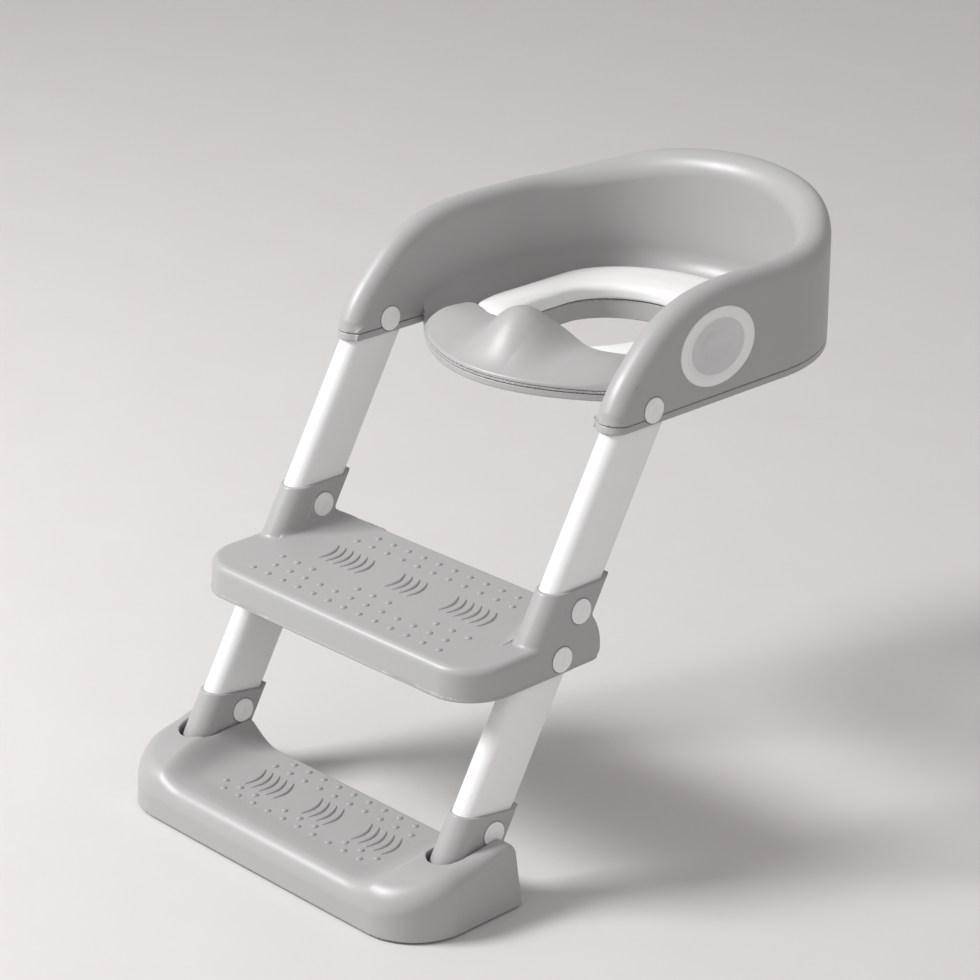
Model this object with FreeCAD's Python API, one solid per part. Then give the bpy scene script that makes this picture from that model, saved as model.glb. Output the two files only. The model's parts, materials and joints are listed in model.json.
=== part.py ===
"""Potty training chair: a toddler toilet seat with arms, on a ladder of two treads.

Millimetres, +Z up, the child faces -Y. The origin is on the floor, in the middle of the overall
footprint. Every function below works with Y counted from the seat hinge; export() moves the parts
to the origin at the end.
"""
import FreeCAD, Part
import math
import os

V = FreeCAD.Vector
X_AXIS = V(1, 0, 0)

# --- seat: plan of the wall, heights and skins -------------------------------------------------
ARM_OUTER_X = 180.0
ARM_WIDTH = 32.0
SKIN = 2.8
WALL_CENTRE_Y = 167.0
WALL_REAR_DEPTH = 165.0
SEAT_UNDERSIDE_Z = 384.6
PARTING_Z = 391.4
DECK_TOP_Z = 394.0
SKIRT_BOTTOM_Z = 376.0
RIM_FILLET = 13.0
CAVITY_DROP = 10.0
NOSE_REAR_Y = -16.0
RIM_PROFILE = [(-46, 384.6), (-40, 406), (-19, 435), (24, 471), (80, 487.5),
               (170, 489), (219, 490), (265, 499), (299, 511), (340, 521)]
SIDE_GAP = 0.7
GRIP_PAD_THICKNESS = 3.0

# --- seat opening, pad and splash guard --------------------------------------------------------
HOLE_HALF_X = 73.0
HOLE_FRONT = (130.0, 100.0)
HOLE_REAR = (150.0, 60.0)
PAD_HALF_X = 114.0
PAD_REAR = (186.0, 87.0)
PAD_TOP_Z = 410.0
PAD_FRONT = (110.0, 120.0)
PAD_GAP = 0.3
PAD_EDGE_R = 5.0
PEG_PLACES = [(94, 120), (62, 238)]
PEG_R = 3.5
PEG_LENGTH = 6.0
SCREW_PLACES = [(128, 70), (128, 190), (90, 262)]
SCREW_HEAD_R = 3.6
SCREW_HEAD = 1.6
SCREW_R = 1.8
SCREW_LENGTH = 8.0
FIT_GAP = 0.05
GUARD_HALF_X = 121.0
GUARD_TIP_Y = -35.0
GUARD_CURVE = 0.0035
GUARD_REAR_Y = 51.0
GUARD_LIP = 2.5
GUARD_SHOULDER_Z = 411.5
HUMP_HEIGHT = 29.5
HUMP_HALF_X = 58.0
HUMP_PEAK_Y = 22.0

# --- side badge --------------------------------------------------------------------------------
BADGE_CENTRE = (78.0, 436.0)
BADGE_HALF = (46.5, 35.0)
BADGE_RIM = 7.0
BADGE_PROUD = 1.6

# --- legs: places along the leg are counted upwards from the foot bolt ---------------------------
LEG_X = 164.0
LEG_TILT = 30.4
HINGE_Z = 398.2
HINGE_ALONG = 380.2
HINGE_AHEAD = 7.0
STEP_UPPER_ALONG = 201.0
STEP_LOWER_ALONG = 157.3
TUBE_HALF = 12.5
TUBE_FRONT = 36.2
TUBE_REAR = 14.8
TUBE_WALL = 2.2
SLEEVE_HALF = 16.0
SLEEVE_GROWTH = 2.0
SLEEVE_PLAY = 0.15
PIN_R = 4.0
RUNNING_GAP = 0.05
CAP_R = 11.5
CAP_PROUD = 1.6
CAP_GROOVE = 0.8
CAP_RECESS = 1.2

# --- middle step -------------------------------------------------------------------------------
STEP_BOTTOM_Z = 189.3
STEP_TOP_Z = 219.0
STEP_FRONT_Y = -216.0
STEP_REAR_Y = -50.0
STEP_CORNER_R = 42.0
STEP_MOUTH_Z = 261.4
KNUCKLE_R = 47.0
STEP_SKIN = 3.0
STEP_EDGE_R = 8.0

# --- foot step (base) --------------------------------------------------------------------------
BASE_HALF_X = 200.0
BASE_FRONT_Y = -300.0
BASE_REAR_Y = -171.0
BASE_CORNER_R = 56.0
BASE_UNDER_Z = 1.6
BASE_SIDE_PROFILE = [(-300, 0), (-300, 36), (-294, 40), (-250, 54), (-190, 62), (-184, 62),
                     (-178, 56), (-171, 0)]
TREAD_Z = 35.0
TREAD_HALF_X = 116.0
TREAD_SLOPE_X = 32.0
TREAD_FRONT_Y = -286.0
FOOT_PIVOT_ALONG = -34.0
FOOT_BLOCK_END = -48.0
POCKET_HALF = 18.0
POCKET_FRONT_Y = -253.0
POCKET_FLOOR_Z = 9.0
MOUTH_SLOPE = 9.0

# --- limits beyond the seat, for cutting shapes -------------------------------------------------
FAR_BELOW = 300.0
FAR_ABOVE = 600.0
FAR_FRONT = -80.0

SIDES = {"left": -1, "right": 1}


def box(x0, x1, y0, y1, z0, z1):
    """A block between two corners."""
    return Part.makeBox(x1 - x0, y1 - y0, z1 - z0, V(x0, y0, z0))


def rod(x0, x1, y, z, radius):
    """A cylinder along X."""
    return Part.makeCylinder(radius, x1 - x0, V(x0, y, z), X_AXIS)


def closed_face(edges):
    """The flat face inside a loop of edges."""
    return Part.Face(Part.Wire(Part.__sortEdges__(edges)))


def polygon_prism(points, direction):
    """A polygon's face, pushed along a vector."""
    return Part.Face(Part.makePolygon(points + points[:1])).extrude(direction)


def line(start, end):
    """A straight edge."""
    return Part.LineSegment(start, end).toShape()


def half_ellipse(centre_y, half_x, half_y, towards):
    """Half an ellipse in the XY plane, bulging along +Y (towards=1) or -Y (towards=-1)."""
    major, minor = max(half_x, half_y), min(half_x, half_y)
    curve = Part.Ellipse(V(0, 0, 0), major, minor)
    turned = half_y > half_x
    start = -math.pi / 2 if turned else 0
    edge = Part.ArcOfEllipse(curve, start, start + math.pi).toShape()
    edge.rotate(V(0, 0, 0), V(0, 0, 1), (90 if turned else 0) + (0 if towards > 0 else 180))
    edge.translate(V(0, centre_y, 0))
    return edge


def to_height(face, low, high):
    """A face of the XY plane, as a block between two heights."""
    solid = face.extrude(V(0, 0, high - low))
    solid.translate(V(0, 0, low))
    return solid


def wall_outline(inset, front_y=FAR_FRONT):
    """Plan of the seat wall, moved inwards by inset."""
    half = ARM_OUTER_X - inset
    rear = half_ellipse(WALL_CENTRE_Y, half, WALL_REAR_DEPTH - inset, 1)
    return closed_face([
        rear,
        line(V(half, front_y, 0), V(half, WALL_CENTRE_Y, 0)),
        line(V(half, front_y, 0), V(-half, front_y, 0)),
        line(V(-half, front_y, 0), V(-half, WALL_CENTRE_Y, 0)),
    ])


def oval_outline(half_x, front, rear, grow=0.0):
    """Plan of the seat opening or of a ring round it, grown outwards by grow."""
    half = half_x + grow
    return closed_face([
        half_ellipse(rear[0], half, rear[1] + grow, 1),
        line(V(half, front[0], 0), V(half, rear[0], 0)),
        half_ellipse(front[0], half, front[1] + grow, -1),
        line(V(-half, front[0], 0), V(-half, rear[0], 0)),
    ])


def under_rim(drop):
    """Everything under the rim's side view, lowered and drawn back by drop."""
    crest = [V(0, y + (drop if y < 0 else 0), z - drop) for y, z in RIM_PROFILE]
    curve = Part.BSplineCurve()
    curve.interpolate(crest)
    first, last = crest[0], crest[-1]
    floor = SEAT_UNDERSIDE_Z - 60
    face = closed_face([
        curve.toShape(),
        line(last, V(0, last.y, floor)),
        line(V(0, last.y, floor), V(0, first.y, floor)),
        line(V(0, first.y, floor), first),
    ])
    face.translate(V(-ARM_OUTER_X - 20, 0, 0))
    return face.extrude(V(2 * ARM_OUTER_X + 40, 0, 0))


# --- leg frame ---------------------------------------------------------------------------------
def leg_point(along, ahead=0.0):
    """Y and Z of a place on the leg: along it from the foot bolt, and ahead of the bolt line."""
    tilt = math.radians(LEG_TILT)
    rise, lead = along - HINGE_ALONG, ahead - HINGE_AHEAD
    return (rise * math.sin(tilt) - lead * math.cos(tilt),
            HINGE_Z + rise * math.cos(tilt) + lead * math.sin(tilt))


def leg_section(low, high, grow=0.0, half=TUBE_HALF, centre_x=LEG_X):
    """A length of the leg's D section: round in front, flat behind."""
    half_x = half
    front, rear = TUBE_FRONT + grow, TUBE_REAR + grow
    nose = Part.Arc(V(-half_x, half_x - front, 0), V(0, -front, 0), V(half_x, half_x - front, 0))
    solid = closed_face([
        nose.toShape(),
        line(V(half_x, half_x - front, 0), V(half_x, rear, 0)),
        line(V(half_x, rear, 0), V(-half_x, rear, 0)),
        line(V(-half_x, rear, 0), V(-half_x, half_x - front, 0)),
    ]).extrude(V(0, 0, high - low))
    solid.translate(V(0, 0, low))
    solid.rotate(V(0, 0, 0), X_AXIS, -LEG_TILT)
    foot_y, foot_z = leg_point(0.0)
    solid.translate(V(centre_x, foot_y, foot_z))
    return solid


def cap_recesses(y, z, side):
    """Shallow round recesses for the pin caps, on both faces of a sleeve or arm."""
    inner, outer = ARM_OUTER_X - ARM_WIDTH, ARM_OUTER_X
    cuts = [rod(outer - CAP_RECESS, outer + 5, y, z, CAP_R + CAP_GROOVE),
            rod(inner - 5, inner + CAP_RECESS, y, z, CAP_R + CAP_GROOVE)]
    return mirrored(Part.Compound(cuts), side)


def mirrored(shape, side):
    """The right-hand shape as it is, or its mirror image for the left."""
    return shape if side > 0 else shape.mirror(V(0, 0, 0), X_AXIS)


def both_sides(shape):
    """A right-hand shape together with its mirror image."""
    return shape.fuse(shape.mirror(V(0, 0, 0), X_AXIS))


# --- seat --------------------------------------------------------------------------------------
def seat_wall():
    """The hollow wall that makes the arms and the back, open below."""
    ring = to_height(wall_outline(0).cut(wall_outline(ARM_WIDTH)), PARTING_Z, FAR_ABOVE).common(under_rim(0))
    rim_edges = [e for e in ring.Edges
                 if e.BoundBox.ZMax > PARTING_Z + 60 and e.BoundBox.YLength > 60]
    ring = ring.makeFillet(RIM_FILLET, rim_edges)
    hollow = to_height(wall_outline(SKIN).cut(wall_outline(ARM_WIDTH - SKIN)), FAR_BELOW, FAR_ABOVE)
    return ring.cut(hollow.common(under_rim(CAVITY_DROP)))


def deck_front_limit():
    """Everything in front of the deck's curved front edge."""
    half, count = ARM_OUTER_X - ARM_WIDTH + 8, 8
    curve = Part.BSplineCurve()
    curve.interpolate([V(x, GUARD_TIP_Y + GUARD_CURVE * x * x, 0)
                       for x in [half * (2 * i / count - 1) for i in range(count + 1)]])
    start, end = curve.StartPoint, curve.EndPoint
    return to_height(closed_face([
        curve.toShape(),
        line(end, V(end.x, -120, 0)),
        line(V(end.x, -120, 0), V(start.x, -120, 0)),
        line(V(start.x, -120, 0), start),
    ]), FAR_BELOW, FAR_ABOVE)


def leg_passage():
    """The space that the legs need to pass through the arms' open underside."""
    at_rest = leg_section(HINGE_ALONG - 120, HINGE_ALONG + 2, grow=SIDE_GAP, half=TUBE_HALF + SIDE_GAP)
    slot = box(LEG_X - TUBE_HALF - SIDE_GAP, LEG_X + TUBE_HALF + SIDE_GAP, -20, 118, 370, PARTING_Z + 1)
    return both_sides(at_rest.fuse(slot))


def nose_limit():
    """Everything behind the round noses of the arms."""
    nose = leg_section(HINGE_ALONG - 90, HINGE_ALONG + 90, grow=SLEEVE_GROWTH + 2, half=ARM_WIDTH / 2)
    behind = box(-ARM_OUTER_X - 1, ARM_OUTER_X + 1, NOSE_REAR_Y, 400, FAR_BELOW, FAR_ABOVE)
    return both_sides(nose).fuse(behind)


def make_seat_shell():
    """Upper moulding: wall, deck and the skirt round the opening."""
    deck = to_height(wall_outline(ARM_WIDTH - SKIN / 2), PARTING_Z, DECK_TOP_Z)
    deck = deck.cut(deck_front_limit())
    opening = oval_outline(HOLE_HALF_X, HOLE_FRONT, HOLE_REAR)
    skirt = to_height(oval_outline(HOLE_HALF_X, HOLE_FRONT, HOLE_REAR, SKIN), SKIRT_BOTTOM_Z, DECK_TOP_Z)
    shell = seat_wall().fuse([deck, skirt]).cut(to_height(opening, FAR_BELOW, FAR_ABOVE))
    shell = shell.cut(leg_passage())
    for side in SIDES.values():
        shell = shell.cut(cap_recesses(0.0, HINGE_Z, side))
        shell = shell.cut(mirrored(rod(100, 250, 0.0, HINGE_Z, PIN_R), side))
        shell = shell.cut(mirrored(badge_disc(BADGE_HALF[0] - 4, BADGE_HALF[1] - 4, 170, 190), side))
    shell = shell.cut(screw_group(FIT_GAP)).cut(peg_group(FIT_GAP))
    return shell


def make_seat_bottom_plate():
    """Lower moulding: closes the deck from below and carries the wall's bottom band."""
    plate = to_height(wall_outline(0), SEAT_UNDERSIDE_Z, PARTING_Z)
    plate = plate.common(under_rim(0)).common(nose_limit())
    inner = to_height(wall_outline(ARM_WIDTH), SEAT_UNDERSIDE_Z + SKIN, PARTING_Z + 1)
    channel = to_height(wall_outline(SKIN).cut(wall_outline(ARM_WIDTH - SKIN)),
                        SEAT_UNDERSIDE_Z + SKIN, PARTING_Z + 1)
    open_front = deck_front_limit().common(to_height(wall_outline(ARM_WIDTH), FAR_BELOW, FAR_ABOVE))
    around_skirt = to_height(oval_outline(HOLE_HALF_X, HOLE_FRONT, HOLE_REAR, SKIN + 0.4), FAR_BELOW, FAR_ABOVE)
    plate = plate.cut([inner, channel.common(under_rim(CAVITY_DROP)), open_front, around_skirt,
                       leg_passage(), screw_group(FIT_GAP)])
    for side in SIDES.values():
        plate = plate.cut(cap_recesses(0.0, HINGE_Z, side))
    return plate


def guard_section(x, shrink=0.0):
    """The splash guard's outline at one distance from the middle, as a closed wire."""
    spread = min(abs(x) / HUMP_HALF_X, 1.0)
    hump = HUMP_HEIGHT * (0.5 + 0.5 * math.cos(math.pi * spread)) ** 1.2
    front = GUARD_TIP_Y + GUARD_CURVE * x * x + shrink
    rear = GUARD_REAR_Y - shrink
    end_fall = 5.0 * (abs(x) / GUARD_HALF_X) ** 8
    crest = GUARD_SHOULDER_Z + hump - end_fall - shrink
    peak_y = HUMP_PEAK_Y + 14.0 * spread
    foot = DECK_TOP_Z + PAD_GAP - shrink
    lip = DECK_TOP_Z + GUARD_LIP - shrink / 3
    points = [V(x, front, foot), V(x, front, lip), V(x, (front + peak_y) / 2, (lip + crest) / 2 + 1),
              V(x, peak_y, crest), V(x, rear, crest - 0.35 * hump), V(x, rear, foot)]
    return Part.makePolygon(points + points[:1])


def guard_loft(half_x, shrink):
    """A skin through the guard's outlines from one end to the other."""
    count = 12
    stations = [half_x * (2 * i / count - 1) for i in range(count + 1)]
    return Part.makeLoft([guard_section(x, shrink) for x in stations], True, True)


def make_splash_guard():
    """Guard between the arms: low shoulders and a rounded hump in the middle, hollow below."""
    return guard_loft(GUARD_HALF_X, 0.0).cut(guard_loft(GUARD_HALF_X - SKIN, SKIN))


def make_seat_pad():
    """Soft ring with an open front."""
    ring = oval_outline(PAD_HALF_X, PAD_FRONT, PAD_REAR).cut(
        oval_outline(HOLE_HALF_X - 2, HOLE_FRONT, HOLE_REAR))
    pad = to_height(ring, DECK_TOP_Z, PAD_TOP_Z)
    pad = pad.cut(box(-200, 200, -50, GUARD_REAR_Y + PAD_GAP, FAR_BELOW, FAR_ABOVE))
    top = [e for e in pad.Edges if e.BoundBox.ZMin > PAD_TOP_Z - 0.1]
    return pad.makeFillet(PAD_EDGE_R, top)


def peg_group(clearance):
    """Four pegs that hold the pad on the deck."""
    pegs = []
    for x, y in PEG_PLACES:
        for side in SIDES.values():
            foot = V(side * x, y, DECK_TOP_Z - PEG_LENGTH)
            pegs.append(Part.makeCylinder(PEG_R + clearance, PEG_LENGTH, foot))
    return Part.Compound(pegs)


def screw_group(clearance):
    """Countersunk screws that hold the bottom plate to the shell."""
    screws = []
    for x, y in SCREW_PLACES:
        for side in SIDES.values():
            head = Part.makeCylinder(SCREW_HEAD_R + clearance, SCREW_HEAD + clearance,
                                     V(side * x, y, SEAT_UNDERSIDE_Z - clearance))
            shank = Part.makeCylinder(SCREW_R + clearance, SCREW_LENGTH, V(side * x, y, SEAT_UNDERSIDE_Z))
            screws.append(head.fuse(shank))
    return Part.Compound(screws)


def badge_disc(half_y, half_z, x0, x1):
    """An oval plate parallel to the arm's outer face, from x0 to x1."""
    face = Part.Face(Part.Wire([Part.Ellipse(V(0, 0, 0), half_y, half_z).toShape()]))
    face.rotate(V(0, 0, 0), V(1, 1, 1), 120)
    face.translate(V(x0, *BADGE_CENTRE))
    return face.extrude(V(x1 - x0, 0, 0))


def make_badge_ring(side):
    """Raised oval frame, set in a hole in the arm's outer face."""
    half_y, half_z = BADGE_HALF
    flange = badge_disc(half_y, half_z, ARM_OUTER_X, ARM_OUTER_X + BADGE_PROUD)
    neck = badge_disc(half_y - 4.1, half_z - 4.1, ARM_OUTER_X - SKIN + 0.1, ARM_OUTER_X)
    window = badge_disc(half_y - BADGE_RIM, half_z - BADGE_RIM, 170, 190)
    return mirrored(flange.fuse(neck).cut(window), side)


def make_badge_dish(side):
    """Plate that fills the oval frame."""
    half_y, half_z = BADGE_HALF
    return mirrored(badge_disc(half_y - BADGE_RIM, half_z - BADGE_RIM,
                               ARM_OUTER_X - SKIN + 0.1, ARM_OUTER_X - 1.0), side)


def make_seat_grip_pads():
    """Rubber pads that rest on the bowl: two long ones, one behind and one in front."""
    low, high = SEAT_UNDERSIDE_Z - GRIP_PAD_THICKNESS, SEAT_UNDERSIDE_Z
    return Part.Compound([
        box(-120, -92, 95, 165, low, high), box(92, 120, 95, 165, low, high),
        box(-40, 40, 228, 254, low, high), box(-24, 24, -16, 8, low, high)])


# --- hinge, bolts and caps ---------------------------------------------------------------------
def pin_caps(y, z, side):
    """The two round caps over one bolt, sunk a little and standing a little proud."""
    inner, outer = ARM_OUTER_X - ARM_WIDTH, ARM_OUTER_X
    caps = [rod(outer - CAP_RECESS, outer + CAP_PROUD, y, z, CAP_R),
            rod(inner - CAP_PROUD, inner + CAP_RECESS, y, z, CAP_R)]
    return mirrored(Part.Compound(caps), side)


def bolt(y, z, side):
    """A plain bolt between the two caps."""
    inner, outer = ARM_OUTER_X - ARM_WIDTH, ARM_OUTER_X
    return mirrored(rod(inner + CAP_RECESS, outer - CAP_RECESS, y, z, PIN_R), side)


def make_hinge_bush(side):
    """Bush in the knuckle, which turns on the hinge bolt."""
    length = TUBE_HALF
    ring = rod(LEG_X - length, LEG_X + length, 0, HINGE_Z, PIN_R + 2.0)
    return mirrored(ring.cut(rod(0, 250, 0, HINGE_Z, PIN_R + RUNNING_GAP)), side)


def make_hinge_washers():
    """Friction washers, one on each side of each knuckle."""
    washers = []
    for side in SIDES.values():
        for x in (LEG_X - TUBE_HALF - SIDE_GAP + 0.05, LEG_X + TUBE_HALF + 0.05):
            ring = rod(x, x + SIDE_GAP - 0.1, 0, HINGE_Z, 9.0)
            washers.append(mirrored(ring.cut(rod(0, 250, 0, HINGE_Z, PIN_R + RUNNING_GAP)), side))
    return Part.Compound(washers)


def make_upper_knuckle(side):
    """Eye that turns in the arm, with a tongue that fills the top of the upper tube."""
    eye = rod(LEG_X - TUBE_HALF, LEG_X + TUBE_HALF, 0, HINGE_Z, 15.0)
    tongue = leg_section(HINGE_ALONG - 42, HINGE_ALONG - 2, grow=-TUBE_WALL, half=TUBE_HALF - TUBE_WALL)
    bore = rod(0, 250, 0, HINGE_Z, PIN_R + 2.0)
    tube = leg_section(HINGE_ALONG - 60, HINGE_ALONG - 2)
    return mirrored(eye.cut(tube).fuse(tongue).cut(bore), side)


def tube(low, high, side, holes):
    """A hollow D-shaped leg tube with cross holes for its bolts."""
    outside = leg_section(low, high)
    inside = leg_section(low - 1, high + 1, grow=-TUBE_WALL, half=TUBE_HALF - TUBE_WALL)
    wall = outside.cut(inside)
    for along, ahead, radius in holes:
        wall = wall.cut(rod(0, 250, *leg_point(along, ahead), radius))
    return mirrored(wall, side)


def make_upper_tube(side):
    """Upper leg tube, from the hinge knuckle into the middle step."""
    return tube(STEP_UPPER_ALONG - 20, HINGE_ALONG - 2, side,
                [(STEP_UPPER_ALONG, 0, PIN_R), (HINGE_ALONG, HINGE_AHEAD, PIN_R + 2.0)])


def make_lower_tube(side):
    """Lower leg tube, from the middle step into the foot sleeve."""
    return tube(-20, STEP_LOWER_ALONG + 20, side,
                [(STEP_LOWER_ALONG, 0, PIN_R), (0, 0, PIN_R)])


def make_ladder_bolts():
    """The bolts through the step's sleeves and the foot sleeves."""
    return Part.Compound([bolt(*leg_point(along), side) for along in
                          (0.0, STEP_LOWER_ALONG, STEP_UPPER_ALONG) for side in SIDES.values()])


def make_ladder_caps():
    """The round caps over the ladder's bolts."""
    return Part.Compound([pin_caps(*leg_point(along), side) for along in
                          (0.0, STEP_LOWER_ALONG, STEP_UPPER_ALONG) for side in SIDES.values()])


# --- middle step -------------------------------------------------------------------------------
def rounded_front(half_x, front, rear, radius):
    """Plan of a tread: square behind, with two round front corners."""
    turn = radius * (1 - math.sqrt(0.5))
    return closed_face([
        line(V(-half_x, rear, 0), V(half_x, rear, 0)),
        line(V(half_x, rear, 0), V(half_x, front + radius, 0)),
        Part.Arc(V(half_x, front + radius, 0), V(half_x - turn, front + turn, 0),
                 V(half_x - radius, front, 0)).toShape(),
        line(V(half_x - radius, front, 0), V(radius - half_x, front, 0)),
        Part.Arc(V(radius - half_x, front, 0), V(turn - half_x, front + turn, 0),
                 V(-half_x, front + radius, 0)).toShape(),
        line(V(-half_x, front + radius, 0), V(-half_x, rear, 0)),
    ])


def make_middle_step():
    """Tread, knuckle lobes and leg sleeves in one moulding, hollow and ribbed below."""
    pin_y, pin_z = leg_point(STEP_LOWER_ALONG)
    tread = to_height(rounded_front(ARM_OUTER_X, STEP_FRONT_Y, pin_y, STEP_CORNER_R),
                      STEP_BOTTOM_Z, STEP_TOP_Z)
    inner_x = ARM_OUTER_X - ARM_WIDTH
    top = [e for e in tread.Edges if e.BoundBox.ZMin > STEP_TOP_Z - 0.1 and e.BoundBox.YMin < pin_y - 1]
    tread = tread.makeFillet(STEP_EDGE_R, top)
    tread = tread.fuse(box(-inner_x, inner_x, pin_y - 5, STEP_REAR_Y, STEP_BOTTOM_Z, STEP_TOP_Z))
    hollow = to_height(rounded_front(inner_x - STEP_SKIN, STEP_FRONT_Y + STEP_SKIN,
                                     STEP_REAR_Y - STEP_SKIN, STEP_CORNER_R - 20),
                       STEP_BOTTOM_Z - 1, STEP_TOP_Z - STEP_SKIN)
    ribs = [box(x - 1.2, x + 1.2, STEP_FRONT_Y + 10, STEP_REAR_Y - 1, STEP_BOTTOM_Z + 6, STEP_TOP_Z - 1)
            for x in (-90, -30, 30, 90)]
    tread = tread.cut(hollow).fuse(ribs)
    band = box(0, 250, -300, 100, STEP_BOTTOM_Z, STEP_MOUTH_Z)
    sleeve = leg_section(100, 260, grow=SLEEVE_GROWTH, half=SLEEVE_HALF).common(band)
    lobe = rod(inner_x, ARM_OUTER_X, pin_y, pin_z, KNUCKLE_R).common(
        box(0, 250, pin_y - 5, 100, STEP_BOTTOM_Z, pin_z + KNUCKLE_R * 0.6))
    bore = leg_section(100, 260, grow=SLEEVE_PLAY, half=TUBE_HALF + SLEEVE_PLAY)
    holders = both_sides(sleeve.fuse(lobe))
    step = tread.fuse(holders).cut(both_sides(bore))
    for along in (STEP_LOWER_ALONG, STEP_UPPER_ALONG):
        y, z = leg_point(along)
        for side in SIDES.values():
            step = step.cut(cap_recesses(y, z, side)).cut(mirrored(rod(100, 250, y, z, PIN_R), side))
    return step


# --- foot sleeve and foot step -----------------------------------------------------------------
def make_foot_sleeve(side):
    """Socket on the foot of the leg; its solid lower end turns in the foot step's pocket."""
    body = leg_section(FOOT_BLOCK_END, 60, grow=SLEEVE_GROWTH, half=SLEEVE_HALF)
    rear_y, rear_z = leg_point(26.0, -TUBE_REAR)
    above = box(0, 250, -60, 90, 0, 80)
    above.rotate(V(0, 0, 0), X_AXIS, -MOUTH_SLOPE)
    above.translate(V(0, rear_y, rear_z))
    bore = leg_section(-20.2, 70, grow=SLEEVE_PLAY, half=TUBE_HALF + SLEEVE_PLAY)
    body = body.cut([above, bore])
    y, z = leg_point(0.0)
    body = body.cut(cap_recesses(y, z, 1)).cut(rod(0, 250, y, z, PIN_R))
    pivot_y, pivot_z = leg_point(FOOT_PIVOT_ALONG)
    return mirrored(body.cut(rod(0, 250, pivot_y, pivot_z, PIN_R + RUNNING_GAP)), side)


def make_foot_pivot_pins():
    """Pins on which the foot step rocks, held in its cheeks."""
    y, z = leg_point(FOOT_PIVOT_ALONG)
    return both_sides(rod(LEG_X - 24, LEG_X + 24, y, z, PIN_R))


def base_side_view(drop=0.0):
    """Everything under the foot step's side view."""
    points = [V(-260, y, z - drop if z > 0 else z - 5) for y, z in BASE_SIDE_PROFILE]
    return polygon_prism(points, V(520, 0, 0))


def tread_recess(deeper=0.0):
    """The space above the foot tread, between its raised sides."""
    low, high = TREAD_Z - deeper, 80.0
    reach = TREAD_HALF_X + TREAD_SLOPE_X
    slope = Part.BSplineCurve()
    slope.interpolate([V(TREAD_HALF_X, 0, low), V(TREAD_HALF_X + 0.5 * TREAD_SLOPE_X, 0, low + 9),
                       V(reach, 0, low + 27)])
    edge = slope.toShape()
    face = closed_face([
        edge, edge.mirror(V(0, 0, 0), X_AXIS),
        line(V(-TREAD_HALF_X, 0, low), V(TREAD_HALF_X, 0, low)),
        line(V(reach, 0, low + 27), V(reach, 0, high)),
        line(V(reach, 0, high), V(-reach, 0, high)),
        line(V(-reach, 0, high), V(-reach, 0, low + 27)),
    ])
    face.translate(V(0, TREAD_FRONT_Y - deeper, 0))
    return face.extrude(V(0, 200, 0))


def make_foot_step():
    """Lower tread: raised sides with a pocket for each leg, hollow below."""
    outline = rounded_front(BASE_HALF_X, BASE_FRONT_Y, BASE_REAR_Y, BASE_CORNER_R)
    body = to_height(outline, BASE_UNDER_Z, 80).common(base_side_view()).cut(tread_recess())
    inside = rounded_front(BASE_HALF_X - STEP_SKIN, BASE_FRONT_Y + STEP_SKIN,
                           BASE_REAR_Y - STEP_SKIN - 8, BASE_CORNER_R - STEP_SKIN)
    hollow = to_height(inside, BASE_UNDER_Z - 5, 80).common(base_side_view(STEP_SKIN + 2))
    hollow = hollow.cut(tread_recess(STEP_SKIN))
    housing = both_sides(box(LEG_X - POCKET_HALF - STEP_SKIN, LEG_X + POCKET_HALF + STEP_SKIN,
                             POCKET_FRONT_Y - STEP_SKIN, BASE_REAR_Y + 1,
                             POCKET_FLOOR_Z - STEP_SKIN, 90))
    body = body.cut(hollow.cut(housing))
    pocket = both_sides(box(LEG_X - POCKET_HALF, LEG_X + POCKET_HALF,
                            POCKET_FRONT_Y, BASE_REAR_Y + 10, POCKET_FLOOR_Z, 90))
    return body.cut([pocket, make_foot_pivot_pins()])


def make_foot_pads():
    """Rubber pads under the foot step."""
    pads = [Part.makeCylinder(9.0, BASE_UNDER_Z, V(x, y, 0))
            for x, y in ((-185, -240), (185, -240), (-185, -190), (185, -190))]
    return Part.Compound(pads)


def build():
    """Every sub-part by name."""
    parts = {
        "seat_shell": make_seat_shell(),
        "seat_bottom_plate": make_seat_bottom_plate(),
        "splash_guard": make_splash_guard(),
        "seat_pad": make_seat_pad(),
        "pad_pegs": peg_group(0),
        "seat_screws": screw_group(0),
        "seat_grip_pads": make_seat_grip_pads(),
        "hinge_washers": make_hinge_washers(),
        "seat_pin_caps": Part.Compound([pin_caps(0, HINGE_Z, side) for side in SIDES.values()]),
        "middle_step": make_middle_step(),
        "ladder_bolts": make_ladder_bolts(),
        "ladder_pin_caps": make_ladder_caps(),
        "foot_step": make_foot_step(),
        "foot_pivot_pins": make_foot_pivot_pins(),
        "foot_pads": make_foot_pads(),
    }
    for name, side in SIDES.items():
        parts["badge_ring_" + name] = make_badge_ring(side)
        parts["badge_dish_" + name] = make_badge_dish(side)
        parts["hinge_bolt_" + name] = bolt(0, HINGE_Z, side)
        parts["hinge_bush_" + name] = make_hinge_bush(side)
        parts["upper_knuckle_" + name] = make_upper_knuckle(side)
        parts["upper_tube_" + name] = make_upper_tube(side)
        parts["lower_tube_" + name] = make_lower_tube(side)
        parts["foot_sleeve_" + name] = make_foot_sleeve(side)
    return parts


def export(parts):
    """Moves the parts to the origin and writes one file for each."""
    os.makedirs("parts", exist_ok=True)
    centre_y = (BASE_FRONT_Y + WALL_CENTRE_Y + WALL_REAR_DEPTH) / 2
    for name, shape in sorted(parts.items()):
        shape.translate(V(0, -centre_y, 0))
        shape.exportStep("parts/" + name + ".step")
        print(name, len(shape.Solids), round(shape.Volume / 1000, 1), shape.isValid())
    print("origin lies", centre_y, "behind the hinge")


export(build())
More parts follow.
